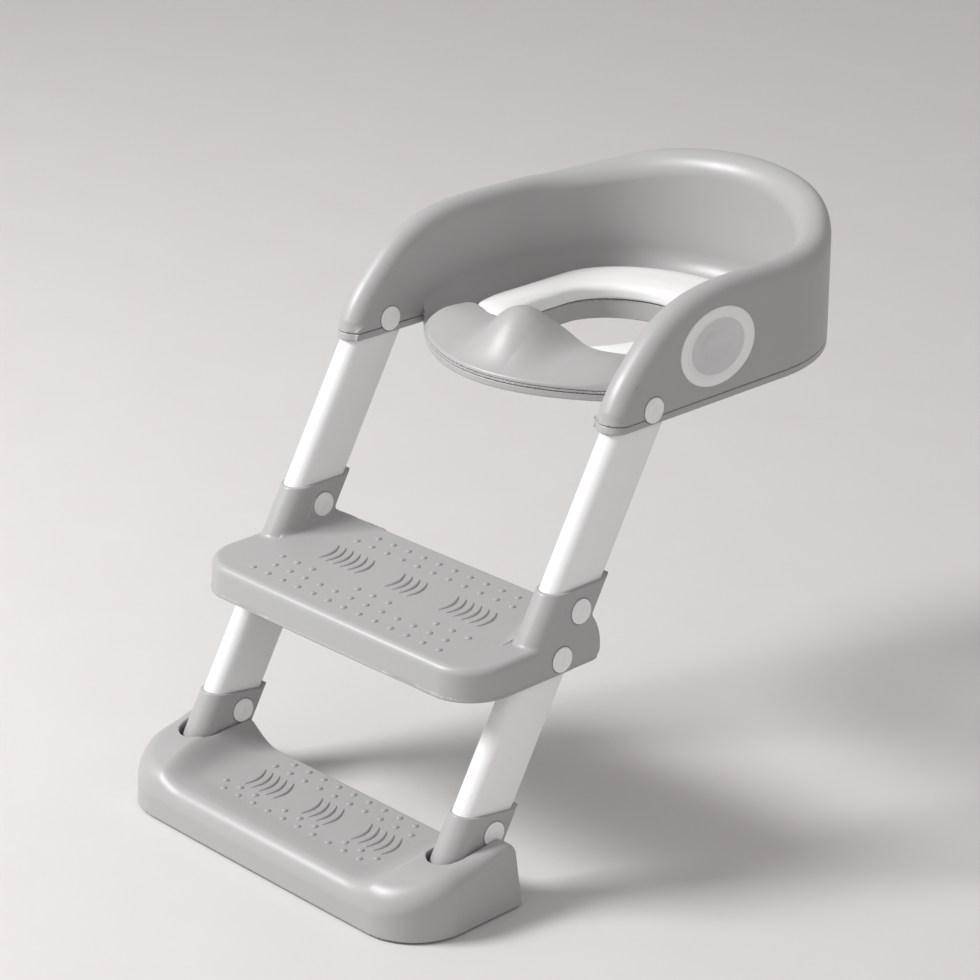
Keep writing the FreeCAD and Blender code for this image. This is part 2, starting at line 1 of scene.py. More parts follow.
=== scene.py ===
"""A toddler's toilet seat with arms and a ladder of two treads, dressed for a picture.

Sizes are in millimetres and are counted from the seat hinge, as on the maker's drawing: X across,
Y towards the back and Z up from the floor. Workshop.place() carries them into the frame.
"""

import json
import logging
import math
from collections.abc import Callable
from dataclasses import dataclass
from enum import Enum
from functools import cached_property

import bmesh
import bpy
import numpy as np
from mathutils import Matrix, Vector


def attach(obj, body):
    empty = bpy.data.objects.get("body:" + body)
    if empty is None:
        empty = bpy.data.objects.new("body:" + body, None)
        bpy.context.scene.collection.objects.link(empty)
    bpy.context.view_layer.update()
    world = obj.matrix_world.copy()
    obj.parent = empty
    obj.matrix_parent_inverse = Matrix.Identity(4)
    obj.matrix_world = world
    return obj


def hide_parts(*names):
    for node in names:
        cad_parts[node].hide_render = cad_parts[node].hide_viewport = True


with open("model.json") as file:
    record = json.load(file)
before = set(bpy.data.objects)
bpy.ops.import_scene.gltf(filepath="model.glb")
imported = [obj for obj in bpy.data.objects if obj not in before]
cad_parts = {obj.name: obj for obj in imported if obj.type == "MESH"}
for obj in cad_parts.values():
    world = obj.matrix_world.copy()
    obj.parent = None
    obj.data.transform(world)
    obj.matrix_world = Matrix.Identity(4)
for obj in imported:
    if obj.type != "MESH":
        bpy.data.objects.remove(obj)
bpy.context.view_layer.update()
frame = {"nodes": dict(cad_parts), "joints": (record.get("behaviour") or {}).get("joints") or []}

LOG = logging.getLogger("toilet_ladder")
Shape = Callable[[np.ndarray, np.ndarray, np.ndarray], np.ndarray]
SIDES = {"left": -1.0, "right": 1.0}
FULL_PITCH = 1.5  # spacing of the nets in the full make


class Body(str, Enum):
    """The moving bodies that a piece can ride on."""

    SEAT = "seat"
    LADDER = "ladder"
    FOOT_STEP = "foot_step"


class Slot(str, Enum):
    """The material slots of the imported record."""

    GREY = "grey_plastic"
    WHITE = "white_plastic"
    PAD = "pad_foam"
    NYLON = "dark_nylon"
    STEEL = "steel"
    RUBBER = "rubber"


# --- shape arithmetic: a shape is a rule that gives the distance to its surface --------------------
def rounded_meet(first: np.ndarray, second: np.ndarray, radius: float | np.ndarray) -> np.ndarray:
    """What two shapes have in common, with a rounded edge.

    Args:
        first: Distance to the first shape, negative inside.
        second: Distance to the second shape, negative inside.
        radius: Radius of the edge where they meet.

    Returns:
        Distance to the shared part.
    """
    corner = np.hypot(np.maximum(radius + first, 0), np.maximum(radius + second, 0))
    return np.minimum(-radius, np.maximum(first, second)) + corner


def rounded_join(first: np.ndarray, second: np.ndarray, radius: float | np.ndarray) -> np.ndarray:
    """Two shapes joined, with a filleted inner corner.

    Args:
        first: Distance to the first shape, negative inside.
        second: Distance to the second shape, negative inside.
        radius: Radius of the fillet.

    Returns:
        Distance to the joined shape.
    """
    corner = np.hypot(np.maximum(radius - first, 0), np.maximum(radius - second, 0))
    return np.maximum(radius, np.minimum(first, second)) - corner


def carve(shape: np.ndarray, tool: np.ndarray, radius: float = 0.0) -> np.ndarray:
    """A shape with another cut out of it.

    Args:
        shape: Distance to the shape.
        tool: Distance to what is cut out.
        radius: Radius of the rim of the cut; 0 leaves it sharp.

    Returns:
        Distance to what is left.
    """
    return rounded_meet(shape, -tool, radius) if radius else np.maximum(shape, -tool)


def ease(value: np.ndarray, start: float, end: float) -> np.ndarray:
    """A smooth step from 0 at start to 1 at end."""
    share = np.clip((value - start) / (end - start), 0.0, 1.0)
    return share * share * (3.0 - 2.0 * share)


def ellipse_distance(x: np.ndarray, y: np.ndarray, half_x: float, half_y: float) -> np.ndarray:
    """Distance to an upright ellipse round the origin, good near its line.

    Args:
        x: Places across.
        y: Places towards the back.
        half_x: Half the width.
        half_y: Half the depth.

    Returns:
        Distances in millimetres, negative inside.
    """
    near = np.hypot(x / half_x, y / half_y)
    steep = np.hypot(x / half_x**2, y / half_y**2)
    return near * (near - 1.0) / np.maximum(steep, 1e-6)


def height_distance(
    x: np.ndarray, y: np.ndarray, z: np.ndarray, height: Callable[[np.ndarray, np.ndarray], np.ndarray]
) -> np.ndarray:
    """Distance to the ground below a height map.

    Args:
        x: Places across.
        y: Places front to back.
        z: Places up.
        height: Height of the surface at x and y.

    Returns:
        Distance, negative below the surface.
    """
    step = 0.5
    along_x = (height(x + step, y) - height(x - step, y)) / (2 * step)
    along_y = (height(x, y + step) - height(x, y - step)) / (2 * step)
    return (z - height(x, y)) / np.sqrt(1.0 + along_x**2 + along_y**2)


@dataclass(frozen=True)
class SideCurve:
    """A smooth line in side view. What lies under it counts as inside."""

    points: tuple[tuple[float, float], ...]
    steps: int = 40
    table_pitch: float = 2.0
    table_margin: float = 60.0

    @cached_property
    def line(self) -> np.ndarray:
        """The line as a dense row of Y and Z places.

        Returns:
            Y and Z of each place.
        """
        knots = np.array(self.points, float)
        ends = [2 * knots[0] - knots[1], *knots, 2 * knots[-1] - knots[-2]]
        share = np.linspace(0, 1, self.steps, endpoint=False)[:, None]
        spans = []
        for before, start, end, after in zip(ends, ends[1:], ends[2:], ends[3:]):
            spans.append(
                start
                + 0.5 * share * (end - before)
                + share**2 * (before - 2.5 * start + 2 * end - 0.5 * after)
                + share**3 * (1.5 * (start - end) + 0.5 * (after - before))
            )
        return np.vstack([*spans, knots[-1:]])

    @cached_property
    def upward(self) -> np.ndarray:
        """The line's upward normals.

        Returns:
            One unit vector for each place.
        """
        run = np.gradient(self.line, axis=0)
        normal = np.stack([-run[:, 1], run[:, 0]], 1)
        return normal / np.linalg.norm(normal, axis=1, keepdims=True)

    @cached_property
    def nearest(self) -> tuple[np.ndarray, np.ndarray]:
        """A table of which place of the line is nearest, and the table's low corner.

        Returns:
            The table and its corner.
        """
        low = self.line.min(0) - self.table_margin
        high = self.line.max(0) + self.table_margin
        rows = np.arange(low[0], high[0], self.table_pitch)[:, None, None]
        columns = np.arange(low[1], high[1], self.table_pitch)[None, :, None]
        far = (rows - self.line[:, 0]) ** 2 + (columns - self.line[:, 1]) ** 2
        return far.argmin(2).astype(float), low

    def height(self, y: np.ndarray) -> np.ndarray:
        """Height of the line over a place Y."""
        return np.interp(y, self.line[:, 0], self.line[:, 1])

    def distance(self, y: np.ndarray, z: np.ndarray) -> np.ndarray:
        """Distance to the line, negative under it.

        Args:
            y: Places towards the back.
            z: Heights.

        Returns:
            Distances in millimetres.
        """
        y, z = np.broadcast_arrays(y, z)
        table, low = self.nearest
        across = np.clip((y - low[0]) / self.table_pitch, 0, table.shape[0] - 1.001)
        up = np.clip((z - low[1]) / self.table_pitch, 0, table.shape[1] - 1.001)
        row, column = across.astype(int), up.astype(int)
        across, up = across - row, up - column
        place = (table[row, column] * (1 - up) + table[row, column + 1] * up) * (1 - across)
        place += (table[row + 1, column] * (1 - up) + table[row + 1, column + 1] * up) * across
        at = np.minimum(place.astype(int), len(self.line) - 2)
        share = (place - at)[..., None]
        spot = self.line[at] * (1 - share) + self.line[at + 1] * share
        normal = self.upward[at] * (1 - share) + self.upward[at + 1] * share
        return (y - spot[..., 0]) * normal[..., 0] + (z - spot[..., 1]) * normal[..., 1]


@dataclass(frozen=True)
class Mould:
    """A block of space in which a shape becomes a closed skin of four-sided faces."""

    low: tuple[float, float, float]
    high: tuple[float, float, float]
    pitch: float
    both_sides: bool = True

    def net(self, shape: Shape) -> tuple[np.ndarray, np.ndarray]:
        """The skin's raw net.

        Args:
            shape: Distance rule of the shape.

        Returns:
            The net's points and its faces.
        """
        base = np.array(self.low)
        if self.both_sides:
            base[0] = 0.0
        axes = [np.arange(a, b + self.pitch, self.pitch, np.float32) for a, b in zip(base, self.high)]
        field = shape(*np.meshgrid(*axes, indexing="ij", sparse=True))
        field = np.broadcast_to(field, [len(axis) for axis in axes])
        if self.both_sides:
            field = np.concatenate([field[:0:-1], field])
            base[0] = -axes[0][-1]
        cells = np.array(field.shape) - 1
        stride = np.array([cells[1] * cells[2], cells[2], 1])
        keys, places, rings = [], [], []
        for axis in range(3):
            low, high = [slice(None)] * 3, [slice(None)] * 3
            low[axis], high[axis] = slice(0, -1), slice(1, None)
            first, second = field[tuple(low)], field[tuple(high)]
            edges = np.argwhere((first < 0) != (second < 0))
            at = tuple(edges.T)
            place = edges.astype(float)
            place[:, axis] += first[at] / (first[at] - second[at])
            ring = []
            for back_u, back_v in ((0, 0), (1, 0), (1, 1), (0, 1)):
                cell = edges.copy()
                cell[:, (axis + 1) % 3] -= back_u
                cell[:, (axis + 2) % 3] -= back_v
                ring.append(cell @ stride)
                keys.append(ring[-1])
                places.append(place)
            ring = np.stack(ring, 1)
            outward = first[at] < 0
            rings.append(np.where(outward[:, None], ring, ring[:, ::-1]))
        used, index = np.unique(np.concatenate(keys), return_inverse=True)
        places = np.concatenate(places)
        counts = np.bincount(index)
        points = np.stack([np.bincount(index, places[:, k]) / counts for k in range(3)], 1)
        faces = np.searchsorted(used, np.concatenate(rings))
        return points * self.pitch + base, faces

    def skin(self, shape: Shape) -> tuple[np.ndarray, np.ndarray, np.ndarray]:
        """The skin, drawn onto the shape's surface.

        Args:
            shape: Distance rule of the shape.

        Returns:
            Points, faces and the normals at the points.
        """
        points, faces = self.net(shape)
        for _ in range(2):
            slope, off = self.slope(shape, points)
            size = np.maximum((slope**2).sum(1, keepdims=True), 0.2)
            off = np.clip(off, -0.3 * self.pitch, 0.3 * self.pitch)
            points = points - off[:, None] * slope / size
        slope, _ = self.slope(shape, points)
        slope /= np.maximum(np.linalg.norm(slope, axis=1, keepdims=True), 1e-6)
        plain = self.plain_normals(points, faces)
        doubtful = (slope * plain).sum(1) < 0.6
        slope[doubtful] = plain[doubtful]
        return points, faces, slope

    @staticmethod
    def plain_normals(points: np.ndarray, faces: np.ndarray) -> np.ndarray:
        """Mean direction of the faces round each point.

        Args:
            points: The points.
            faces: The faces, as rows of point numbers.

        Returns:
            One unit vector for each point.
        """
        first = points[faces[:, 2]] - points[faces[:, 0]]
        second = points[faces[:, 3]] - points[faces[:, 1]]
        turned = np.cross(first, second)
        total = np.zeros_like(points)
        for corner in range(4):
            for axis in range(3):
                total[:, axis] += np.bincount(faces[:, corner], turned[:, axis], len(points))
        return total / np.maximum(np.linalg.norm(total, axis=1, keepdims=True), 1e-9)

    @staticmethod
    def slope(shape: Shape, points: np.ndarray) -> tuple[np.ndarray, np.ndarray]:
        """Direction in which the distance grows, and the distance itself, at each point.

        Args:
            shape: The rule that gives the distance.
            points: The points.

        Returns:
            Unit vectors and distances.
        """
        step = 0.12
        corners = np.array([(1, 1, 1), (1, -1, -1), (-1, 1, -1), (-1, -1, 1)], float)
        values = [shape(*(points + step * corner).T) for corner in corners]
        slope = sum(value[:, None] * corner for value, corner in zip(values, corners)) / (4 * step)
        return slope, sum(values) / 4


# --- shader maths -----------------------------------------------------------------------------------
@dataclass(frozen=True)
class Tone:
    """One shader output that can be used in sums."""

    tree: bpy.types.NodeTree
    socket: bpy.types.NodeSocket

    def maths(self, operation: str, *others: "Tone | float") -> "Tone":
        """A Math node on this value and others."""
        return Nodes(self.tree).add("ShaderNodeMath", {"operation": operation}, [self, *others])

    def __add__(self, other: "Tone | float") -> "Tone":
        """Sum."""
        return self.maths("ADD", other)

    def __radd__(self, other: float) -> "Tone":
        """Sum, number first."""
        return self.maths("ADD", other)

    def __mul__(self, other: "Tone | float") -> "Tone":
        """Product."""
        return self.maths("MULTIPLY", other)

    def __rmul__(self, other: float) -> "Tone":
        """Product, number first."""
        return self.maths("MULTIPLY", other)

    def __sub__(self, other: "Tone | float") -> "Tone":
        """Difference."""
        return self.maths("SUBTRACT", other)

    def __rsub__(self, other: float) -> "Tone":
        """Difference, number first."""
        return (self * -1.0) + other


@dataclass(frozen=True)
class Nodes:
    """Adds nodes to one material."""

    tree: bpy.types.NodeTree

    def add(
        self,
        kind: str,
        settings: dict[str, object] | None = None,
        inputs: dict[str, object] | list[object] | None = None,
        output: str | int = 0,
    ) -> Tone:
        """One node, with its settings, then its socket values or links.

        Args:
            kind: Blender's name of the node type.
            settings: Node settings; "stops" is a list of ramp places and colours.
            inputs: Socket values or links, by name or in order.
            output: Which output is handed back.

        Returns:
            The chosen output.
        """
        node = self.tree.nodes.new(kind)
        for name, value in (settings or {}).items():
            if name == "stops":
                ramp = node.color_ramp
                while len(ramp.elements) < len(value):
                    ramp.elements.new(0.5)
                for element, (place, colour) in zip(ramp.elements, value):
                    element.position, element.color = place, (*colour, 1.0)
            else:
                setattr(node, name, value)
        rows = inputs.items() if isinstance(inputs, dict) else enumerate(inputs or [])
        for name, value in rows:
            if isinstance(value, Tone):
                self.tree.links.new(value.socket, node.inputs[name])
            else:
                node.inputs[name].default_value = value
        return Tone(self.tree, node.outputs[output])

    def mixed(self, share: Tone, first: tuple[float, ...], second: tuple[float, ...]) -> Tone:
        """A colour between two colours."""
        place = {"data_type": "RGBA"}
        return self.add("ShaderNodeMix", place, {0: share, 6: (*first, 1.0), 7: (*second, 1.0)}, 2)


@dataclass(frozen=True)
class Finish:
    """A moulded or metal surface: its colour, gloss and fine grain."""

    name: str
    colour: tuple[float, float, float]
    tint: tuple[float, float, float]
    roughness: float
    roughness_swing: float
    grain_size: float
    grain_depth: float
    metallic: float = 0.0
    coat: float = 0.0
    flow: float = 0.15
    specular: float = 0.5

    def material(self) -> bpy.types.Material:
        """The finish as a material, made once and then shared.

        Returns:
            The material.
        """
        found = bpy.data.materials.get(self.name)
        if found:
            return found
        material = bpy.data.materials.new(self.name)
        material.use_nodes = True
        tree = material.node_tree
        nodes = Nodes(tree)
        shader = next(node for node in tree.nodes if node.type == "BSDF_PRINCIPLED")
        place = nodes.add("ShaderNodeTexCoord", output="Object")
        drift = nodes.add(
            "ShaderNodeTexNoise", {}, {"Vector": place, "Scale": 9.0, "Detail": 3.0, "Roughness": 0.6}
        )
        mottle = nodes.add("ShaderNodeTexNoise", {}, {"Vector": place, "Scale": 90.0, "Detail": 4.0})
        pores = nodes.add(
            "ShaderNodeTexVoronoi",
            {"feature": "SMOOTH_F1"},
            {"Vector": place, "Scale": 1.0 / self.grain_size, "Smoothness": 0.7},
        )
        grain = nodes.add(
            "ShaderNodeTexNoise", {}, {"Vector": place, "Scale": 1.6 / self.grain_size, "Detail": 2.0}
        )
        share = drift * 0.7 + mottle * 0.3
        colour = nodes.mixed(share, self.colour, self.tint)
        roughness = self.roughness + self.roughness_swing * (mottle - 0.5) + 0.06 * (drift - 0.5)
        relief = pores * 0.6 + grain * 0.4 + mottle * self.flow
        bump = nodes.add(
            "ShaderNodeBump", {}, {"Strength": 0.35, "Distance": self.grain_depth, "Height": relief}
        )
        for name, tone in (("Base Color", colour), ("Roughness", roughness), ("Normal", bump)):
            tree.links.new(tone.socket, shader.inputs[name])
        shader.inputs["Metallic"].default_value = self.metallic
        shader.inputs["Coat Weight"].default_value = self.coat
        shader.inputs["Coat Roughness"].default_value = 0.12
        shader.inputs["Specular IOR Level"].default_value = self.specular
        return material


GREY_SATIN = Finish(
    "grey_satin_plastic", (0.389, 0.387, 0.385), (0.407, 0.405, 0.403), 0.38, 0.10, 0.0007, 0.00006
)
GREY_TREAD = Finish(
    "grey_tread_plastic", (0.366, 0.364, 0.361), (0.389, 0.387, 0.384), 0.46, 0.10, 0.0009, 0.00009
)
WHITE_GLOSS = Finish(
    "white_gloss_plastic", (0.86, 0.86, 0.86), (0.89, 0.89, 0.885), 0.20, 0.06, 0.0016, 0.00003, coat=0.35
)
PAD_SKIN = Finish(
    "pad_foam_skin", (0.810, 0.810, 0.805), (0.837, 0.837, 0.833), 0.46, 0.08, 0.0011, 0.00010
)
# Light grey for the badge dish: painted shade of the hollow, darker than the white frame round it.
DISH_PAINTED_SHADE = Finish(
    "badge_dish_painted_shade", (0.65, 0.65, 0.65), (0.68, 0.68, 0.68), 0.30, 0.06, 0.0016, 0.00003, coat=0.2
)
FLOOR_PAINT = Finish(
    "floor_paint", (0.63, 0.617, 0.612), (0.675, 0.666, 0.66), 0.6, 0.1, 0.004, 0.0001
)
# Dark nylon of the hinge washers and bushes; also used for the rings that paint the shadow of the gaps round
# the caps.
DARK_NYLON_AND_GAP_SHADE = Finish(
    "dark_nylon", (0.030, 0.030, 0.031), (0.045, 0.045, 0.046), 0.55, 0.10, 0.0008, 0.00006
)
STEEL = Finish(
    "plated_steel", (0.56, 0.56, 0.57), (0.62, 0.62, 0.63), 0.30, 0.12, 0.0010, 0.00003, metallic=1.0
)
RUBBER = Finish(
    "grey_rubber", (0.20, 0.20, 0.20), (0.25, 0.25, 0.25), 0.75, 0.10, 0.0008, 0.00012
)


# --- putting pieces in place ------------------------------------------------------------------------
@dataclass(frozen=True)
class Workshop:
    """Carries drawing sizes into the frame, and hangs each piece on its body."""

    hinge_y: float

    def place(self, points: np.ndarray) -> np.ndarray:
        """Drawing places in millimetres, as frame places in metres."""
        return (np.asarray(points, float) + (0.0, self.hinge_y, 0.0)) / 1000.0

    def piece(
        self,
        name: str,
        body: Body,
        slot: Slot,
        finish: Finish,
        points: np.ndarray,
        faces: np.ndarray | list[list[int]],
        normals: np.ndarray | None = None,
        replaces: tuple[str, ...] = (),
    ) -> bpy.types.Object:
        """One dressed piece.

        Args:
            name: The piece's name.
            body: The body it rides on.
            slot: The record's material slot.
            finish: Its surface.
            points: Its points, in drawing millimetres.
            faces: Its faces, as rows of point numbers.
            normals: The directions that its surface faces, where they are known.
            replaces: CAD nodes that it stands for.

        Returns:
            The new object.
        """
        mesh = bpy.data.meshes.new(name)
        rows = faces.tolist() if isinstance(faces, np.ndarray) else faces
        mesh.from_pydata(self.place(points).tolist(), [], rows)
        mesh.validate()
        mesh.shade_smooth()
        if normals is not None:
            mesh.normals_split_custom_set_from_vertices(normals.tolist())
        return self.hang(mesh, name, body, slot, finish, replaces)

    @staticmethod
    def hang(
        mesh: bpy.types.Mesh, name: str, body: Body, slot: Slot, finish: Finish, replaces: tuple[str, ...]
    ) -> bpy.types.Object:
        """Puts a finished mesh on its body, dresses it and reports it.

        Args:
            mesh: The mesh, in frame metres.
            name: The piece's name.
            body: The body it rides on.
            slot: The record's material slot; not used.
            finish: Its surface.
            replaces: CAD nodes that it stands for.

        Returns:
            The new object.
        """
        piece = bpy.data.objects.new(name, mesh)
        bpy.context.scene.collection.objects.link(piece)
        mesh.materials.append(finish.material())
        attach(piece, body.value)
        if replaces:
            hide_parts(*replaces)
        LOG.info("%s: %d points on %s", name, len(mesh.vertices), body.value)
        return piece


def mirror(points: np.ndarray, side: float) -> np.ndarray:
    """Right-hand points, or their mirror image for the left."""
    return np.asarray(points, float) * (side, 1.0, 1.0)


def loft(
    rings: list[np.ndarray], closed: bool = True, caps: bool = True
) -> tuple[np.ndarray, list[list[int]]]:
    """A skin over a row of equal rings.

    Args:
        rings: Rings of points, one after the other.
        closed: Whether each ring runs back to its first point.
        caps: Whether the first and last ring are closed with a face.

    Returns:
        Points and faces.
    """
    count = len(rings[0])
    faces = []
    for row in range(len(rings) - 1):
        for at in range(count if closed else count - 1):
            after = (at + 1) % count
            base, above = row * count, (row + 1) * count
            faces.append([base + at, base + after, above + after, above + at])
    if caps:
        last = (len(rings) - 1) * count
        faces.append(list(range(count))[::-1])
        faces.append([last + at for at in range(count)])
    return np.vstack(rings), faces


def outward(points: np.ndarray, faces: list[list[int]]) -> tuple[np.ndarray, list[list[int]]]:
    """The same faces, all turned to look outwards.

    Args:
        points: The points.
        faces: The faces, as rows of point numbers.

    Returns:
        Points and faces.
    """
    mesh = bmesh.new()
    corners = [mesh.verts.new(point) for point in points]
    for face in faces:
        mesh.faces.new([corners[at] for at in face])
    bmesh.ops.recalc_face_normals(mesh, faces=mesh.faces)
    mesh.verts.index_update()
    turned = [[corner.index for corner in face.verts] for face in mesh.faces]
    mesh.free()
    return points, turned


def merged(parts: list[tuple[np.ndarray, list[list[int]]]]) -> tuple[np.ndarray, list[list[int]]]:
    """Several small skins as one.

    Args:
        parts: The points and faces of each.

    Returns:
        Points and faces.
    """
    points, faces, start = [], [], 0
    for some, rows in parts:
        points.append(some)
        faces += [[start + at for at in row] for row in rows]
        start += len(some)
    return np.vstack(points), faces


# --- legs -------------------------------------------------------------------------------------------
@dataclass(frozen=True)
class LegLine:
    """The leaning line of a leg. Places on it are counted upwards from the foot bolt."""

    x: float = 164.0
    tilt: float = math.radians(30.4)
    hinge_z: float = 398.2
    hinge_along: float = 380.2
    hinge_ahead: float = 7.0
    foot_bolt: float = 0.0
    lower_bolt: float = 157.3
    upper_bolt: float = 201.0

    def point(self, along: float, ahead: float = 0.0) -> tuple[float, float]:
        """Y and Z of a place along the leg and ahead of its bolts.

        Args:
            along: Place along the leg.
            ahead: Distance ahead of the bolts.

        Returns:
            Y and Z.
        """
        rise, lead = along - self.hinge_along, ahead - self.hinge_ahead
        return (
            rise * math.sin(self.tilt) - lead * math.cos(self.tilt),
            self.hinge_z + rise * math.cos(self.tilt) + lead * math.sin(self.tilt),
        )

    def read(self, y: np.ndarray, z: np.ndarray) -> tuple[np.ndarray, np.ndarray]:
        """How far along the leg a place lies, and how far ahead of its bolts."""
        sin, cos, up = math.sin(self.tilt), math.cos(self.tilt), z - self.hinge_z
        return y * sin + up * cos + self.hinge_along, up * sin - y * cos + self.hinge_ahead

    def section(
        self,
        x: np.ndarray,
        y: np.ndarray,
        z: np.ndarray,
        half: float,
        front: float,
        rear: float,
        corner: float,
    ) -> np.ndarray:
        """Distance to an endless D-shaped leg, round in front and flat behind.

        Args:
            x: Places across.
            y: Places front to back.
            z: Places up.
            half: Half its width.
            front: How far it reaches ahead of the bolts.
            rear: How far it reaches behind them.
            corner: Radius of its two rear corners.

        Returns:
            Distance, negative inside.
        """
        _, ahead = self.read(y, z)
        nose = np.hypot(np.abs(x) - self.x, np.maximum(ahead - (front - half), 0)) - half
        return rounded_meet(nose, -ahead - rear, corner)


@dataclass(frozen=True)
class LegTubes:
    """The white tubes between the seat, the middle step and the foot step."""

    leg: LegLine
    half: float = 12.5
    front: float = 36.2
    rear: float = 14.8
    corner: float = 3.0
    wall: float = 2.2
    upper: tuple[float, float] = (181.0, 378.2)
    lower: tuple[float, float] = (-20.0, 177.3)

    def ring(self, along: float, inset: float) -> np.ndarray:
        """The D outline at one place on the leg, drawn in by inset.

        Args:
            along: Place along the leg.
            inset: How far the outline is drawn in.

        Returns:
            The points of the outline.
        """
        half, front, rear = self.half - inset, self.front - inset, self.rear - inset
        corner = max(self.corner - inset, 0.8)
        turns = np.linspace(0, math.pi, 25)
        nose = [(half * math.cos(a), front - half + half * math.sin(a)) for a in turns]
        left = [
            (corner - half + corner * math.cos(a), corner - rear + corner * math.sin(a))
            for a in np.linspace(math.pi, 1.5 * math.pi, 6)
        ]
        right = [(-across, ahead) for across, ahead in left[::-1]]
        outline = [(half, 6.0), *nose, (-half, 6.0), *left, (0.0, -rear), *right]
        return np.array([(self.leg.x + across, *self.leg.point(along, ahead)) for across, ahead in outline])

    def tube(self, low: float, high: float) -> tuple[np.ndarray, list[list[int]]]:
        """One hollow tube with eased ends.

        Args:
            low: Its lower end along the leg.
            high: Its upper end along the leg.

        Returns:
            Points and faces.
        """
        count = 18
        steps = [low + 0.6 + (high - low - 1.2) * at / count for at in range(count + 1)]
        outside = [self.ring(low, 0.6), *[self.ring(at, 0.0) for at in steps], self.ring(high, 0.6)]
        inside = [self.ring(at, self.wall) for at in (high, *steps[::-1], low)]
        rings = [*outside, *inside, outside[0]]
        points, faces = loft(rings[:-1], caps=False)
        size, last = len(rings[0]), (len(rings) - 2) * len(rings[0])
        faces += [[last + at, last + (at + 1) % size, (at + 1) % size, at] for at in range(size)]
        return outward(points, faces)

    def build(self, shop: Workshop) -> None:
        """Makes the four tubes.

        Args:
            shop: Where pieces are made.
        """
        for side, sign in SIDES.items():
            for name, span in (("upper_tube", self.upper), ("lower_tube", self.lower)):
                points, faces = self.tube(*span)
                if sign < 0:
                    faces = [face[::-1] for face in faces]
                node = f"{name}_{side}"
                shop.piece(
                    f"leg_{node}", Body.LADDER, Slot.WHITE, WHITE_GLOSS,
                    mirror(points, sign), faces, None, (node,),
                )  # fmt: skip


@dataclass(frozen=True)
class PinCaps:
    """Round white caps over the bolts, each ringed by a thin dark ring that is painted shadow of the gap
    round the cap.
    """

    leg: LegLine
    radius: float = 11.4
    proud: float = 1.6
    sunk: float = 1.0
    bevel: float = 0.9
    mark_half: tuple[float, float] = (1.0, 4.6)
    mark_lean: float = math.radians(-28.0)
    inner_x: float = 148.0
    outer_x: float = 180.0

    def disc(self) -> tuple[np.ndarray, list[list[int]]]:
        """A domed disc that faces +X, with its back on the plane X = 0.

        Returns:
            Points and faces.
        """
        rows = [
            (self.radius, -self.sunk),
            (self.radius, self.proud - self.bevel),
            (self.radius - 0.25 * self.bevel, self.proud - 0.35 * self.bevel),
            (self.radius - self.bevel, self.proud - 0.05 * self.bevel),
            (self.radius - 2.2 * self.bevel, self.proud),
            (self.radius - 3.0 * self.bevel, self.proud - 0.25),
            (self.radius - 4.2 * self.bevel, self.proud - 0.30),
            (3.0, self.proud - 0.22),
        ]
        turns = np.linspace(0, 2 * math.pi, 48, endpoint=False)
        rings = [np.array([(out, r * math.cos(a), r * math.sin(a)) for a in turns]) for r, out in rows]
        return outward(*loft(rings))

    def mark(self) -> tuple[np.ndarray, list[list[int]]]:
        """A small raised bar across the disc.

        Returns:
            Points and faces.
        """
        half_y, half_z = self.mark_half
        turns = np.linspace(0, 2 * math.pi, 20, endpoint=False)
        cos, sin = math.cos(self.mark_lean), math.sin(self.mark_lean)
        rings = []
        for out, share in ((self.proud - 0.5, 1.0), (self.proud + 0.05, 0.95), (self.proud + 0.25, 0.6)):
            y = half_y * share * np.cos(turns)
            z = half_z * share * np.sin(turns)
            rings.append(np.stack([np.full_like(y, out), y * cos - z * sin, y * sin + z * cos], 1))
        return outward(*loft(rings))

    def gap(self) -> tuple[np.ndarray, list[list[int]]]:
        """The thin dark ring round a disc, a painted shadow of the gap between cap and moulding.

        Returns:
            Points and faces.
        """
        turns = np.linspace(0, 2 * math.pi, 48, endpoint=False)
        rows = [(0.0, -0.6), (0.0, 0.16), (0.35, 0.24), (0.75, 0.16), (0.8, -0.6)]
        rings = [
            np.array([(out, (self.radius + r) * math.cos(a), (self.radius + r) * math.sin(a)) for a in turns])
            for r, out in rows
        ]
        return outward(*loft([*rings, rings[0]], caps=False))

    def spread(
        self, skin: tuple[np.ndarray, list[list[int]]], bolts: list[tuple[float, float]]
    ) -> tuple[np.ndarray, list[list[int]]]:
        """Copies of a disc or ring on both faces at each bolt, on both sides.

        Args:
            skin: The points and faces that are copied.
            bolts: Y and Z of each bolt.

        Returns:
            Points and faces of all copies.
        """
        parts = []
        for y, z in bolts:
            for side in SIDES.values():
                for x, facing in ((self.outer_x, 1.0), (self.inner_x, -1.0)):
                    points = (skin[0] * (facing, 1.0, 1.0) + (x, y, z)) * (side, 1.0, 1.0)
                    faces = skin[1] if facing * side > 0 else [face[::-1] for face in skin[1]]
                    parts.append((points, faces))
        return merged(parts)

    def build(self, shop: Workshop) -> None:
        """Makes the caps of the seat hinge and of the ladder.

        Args:
            shop: Where pieces are made.
        """
        ladder = [self.leg.point(at) for at in (self.leg.foot_bolt, self.leg.lower_bolt, self.leg.upper_bolt)]
        groups = (
            ("seat", Body.SEAT, [(0.0, self.leg.hinge_z)], "seat_pin_caps"),
            ("ladder", Body.LADDER, ladder, "ladder_pin_caps"),
        )
        for name, body, bolts, node in groups:
            caps = self.spread(merged([self.disc(), self.mark()]), bolts)
            shop.piece(f"{name}_bolt_caps", body, Slot.WHITE, WHITE_GLOSS, *caps, None, (node,))
            # The dark rings are painted shadow in the gap round each cap, standing flush on the surface.
            shop.piece(f"{name}_cap_gap_shadow_rings", body, Slot.NYLON, DARK_NYLON_AND_GAP_SHADE, *self.spread(self.gap(), bolts))


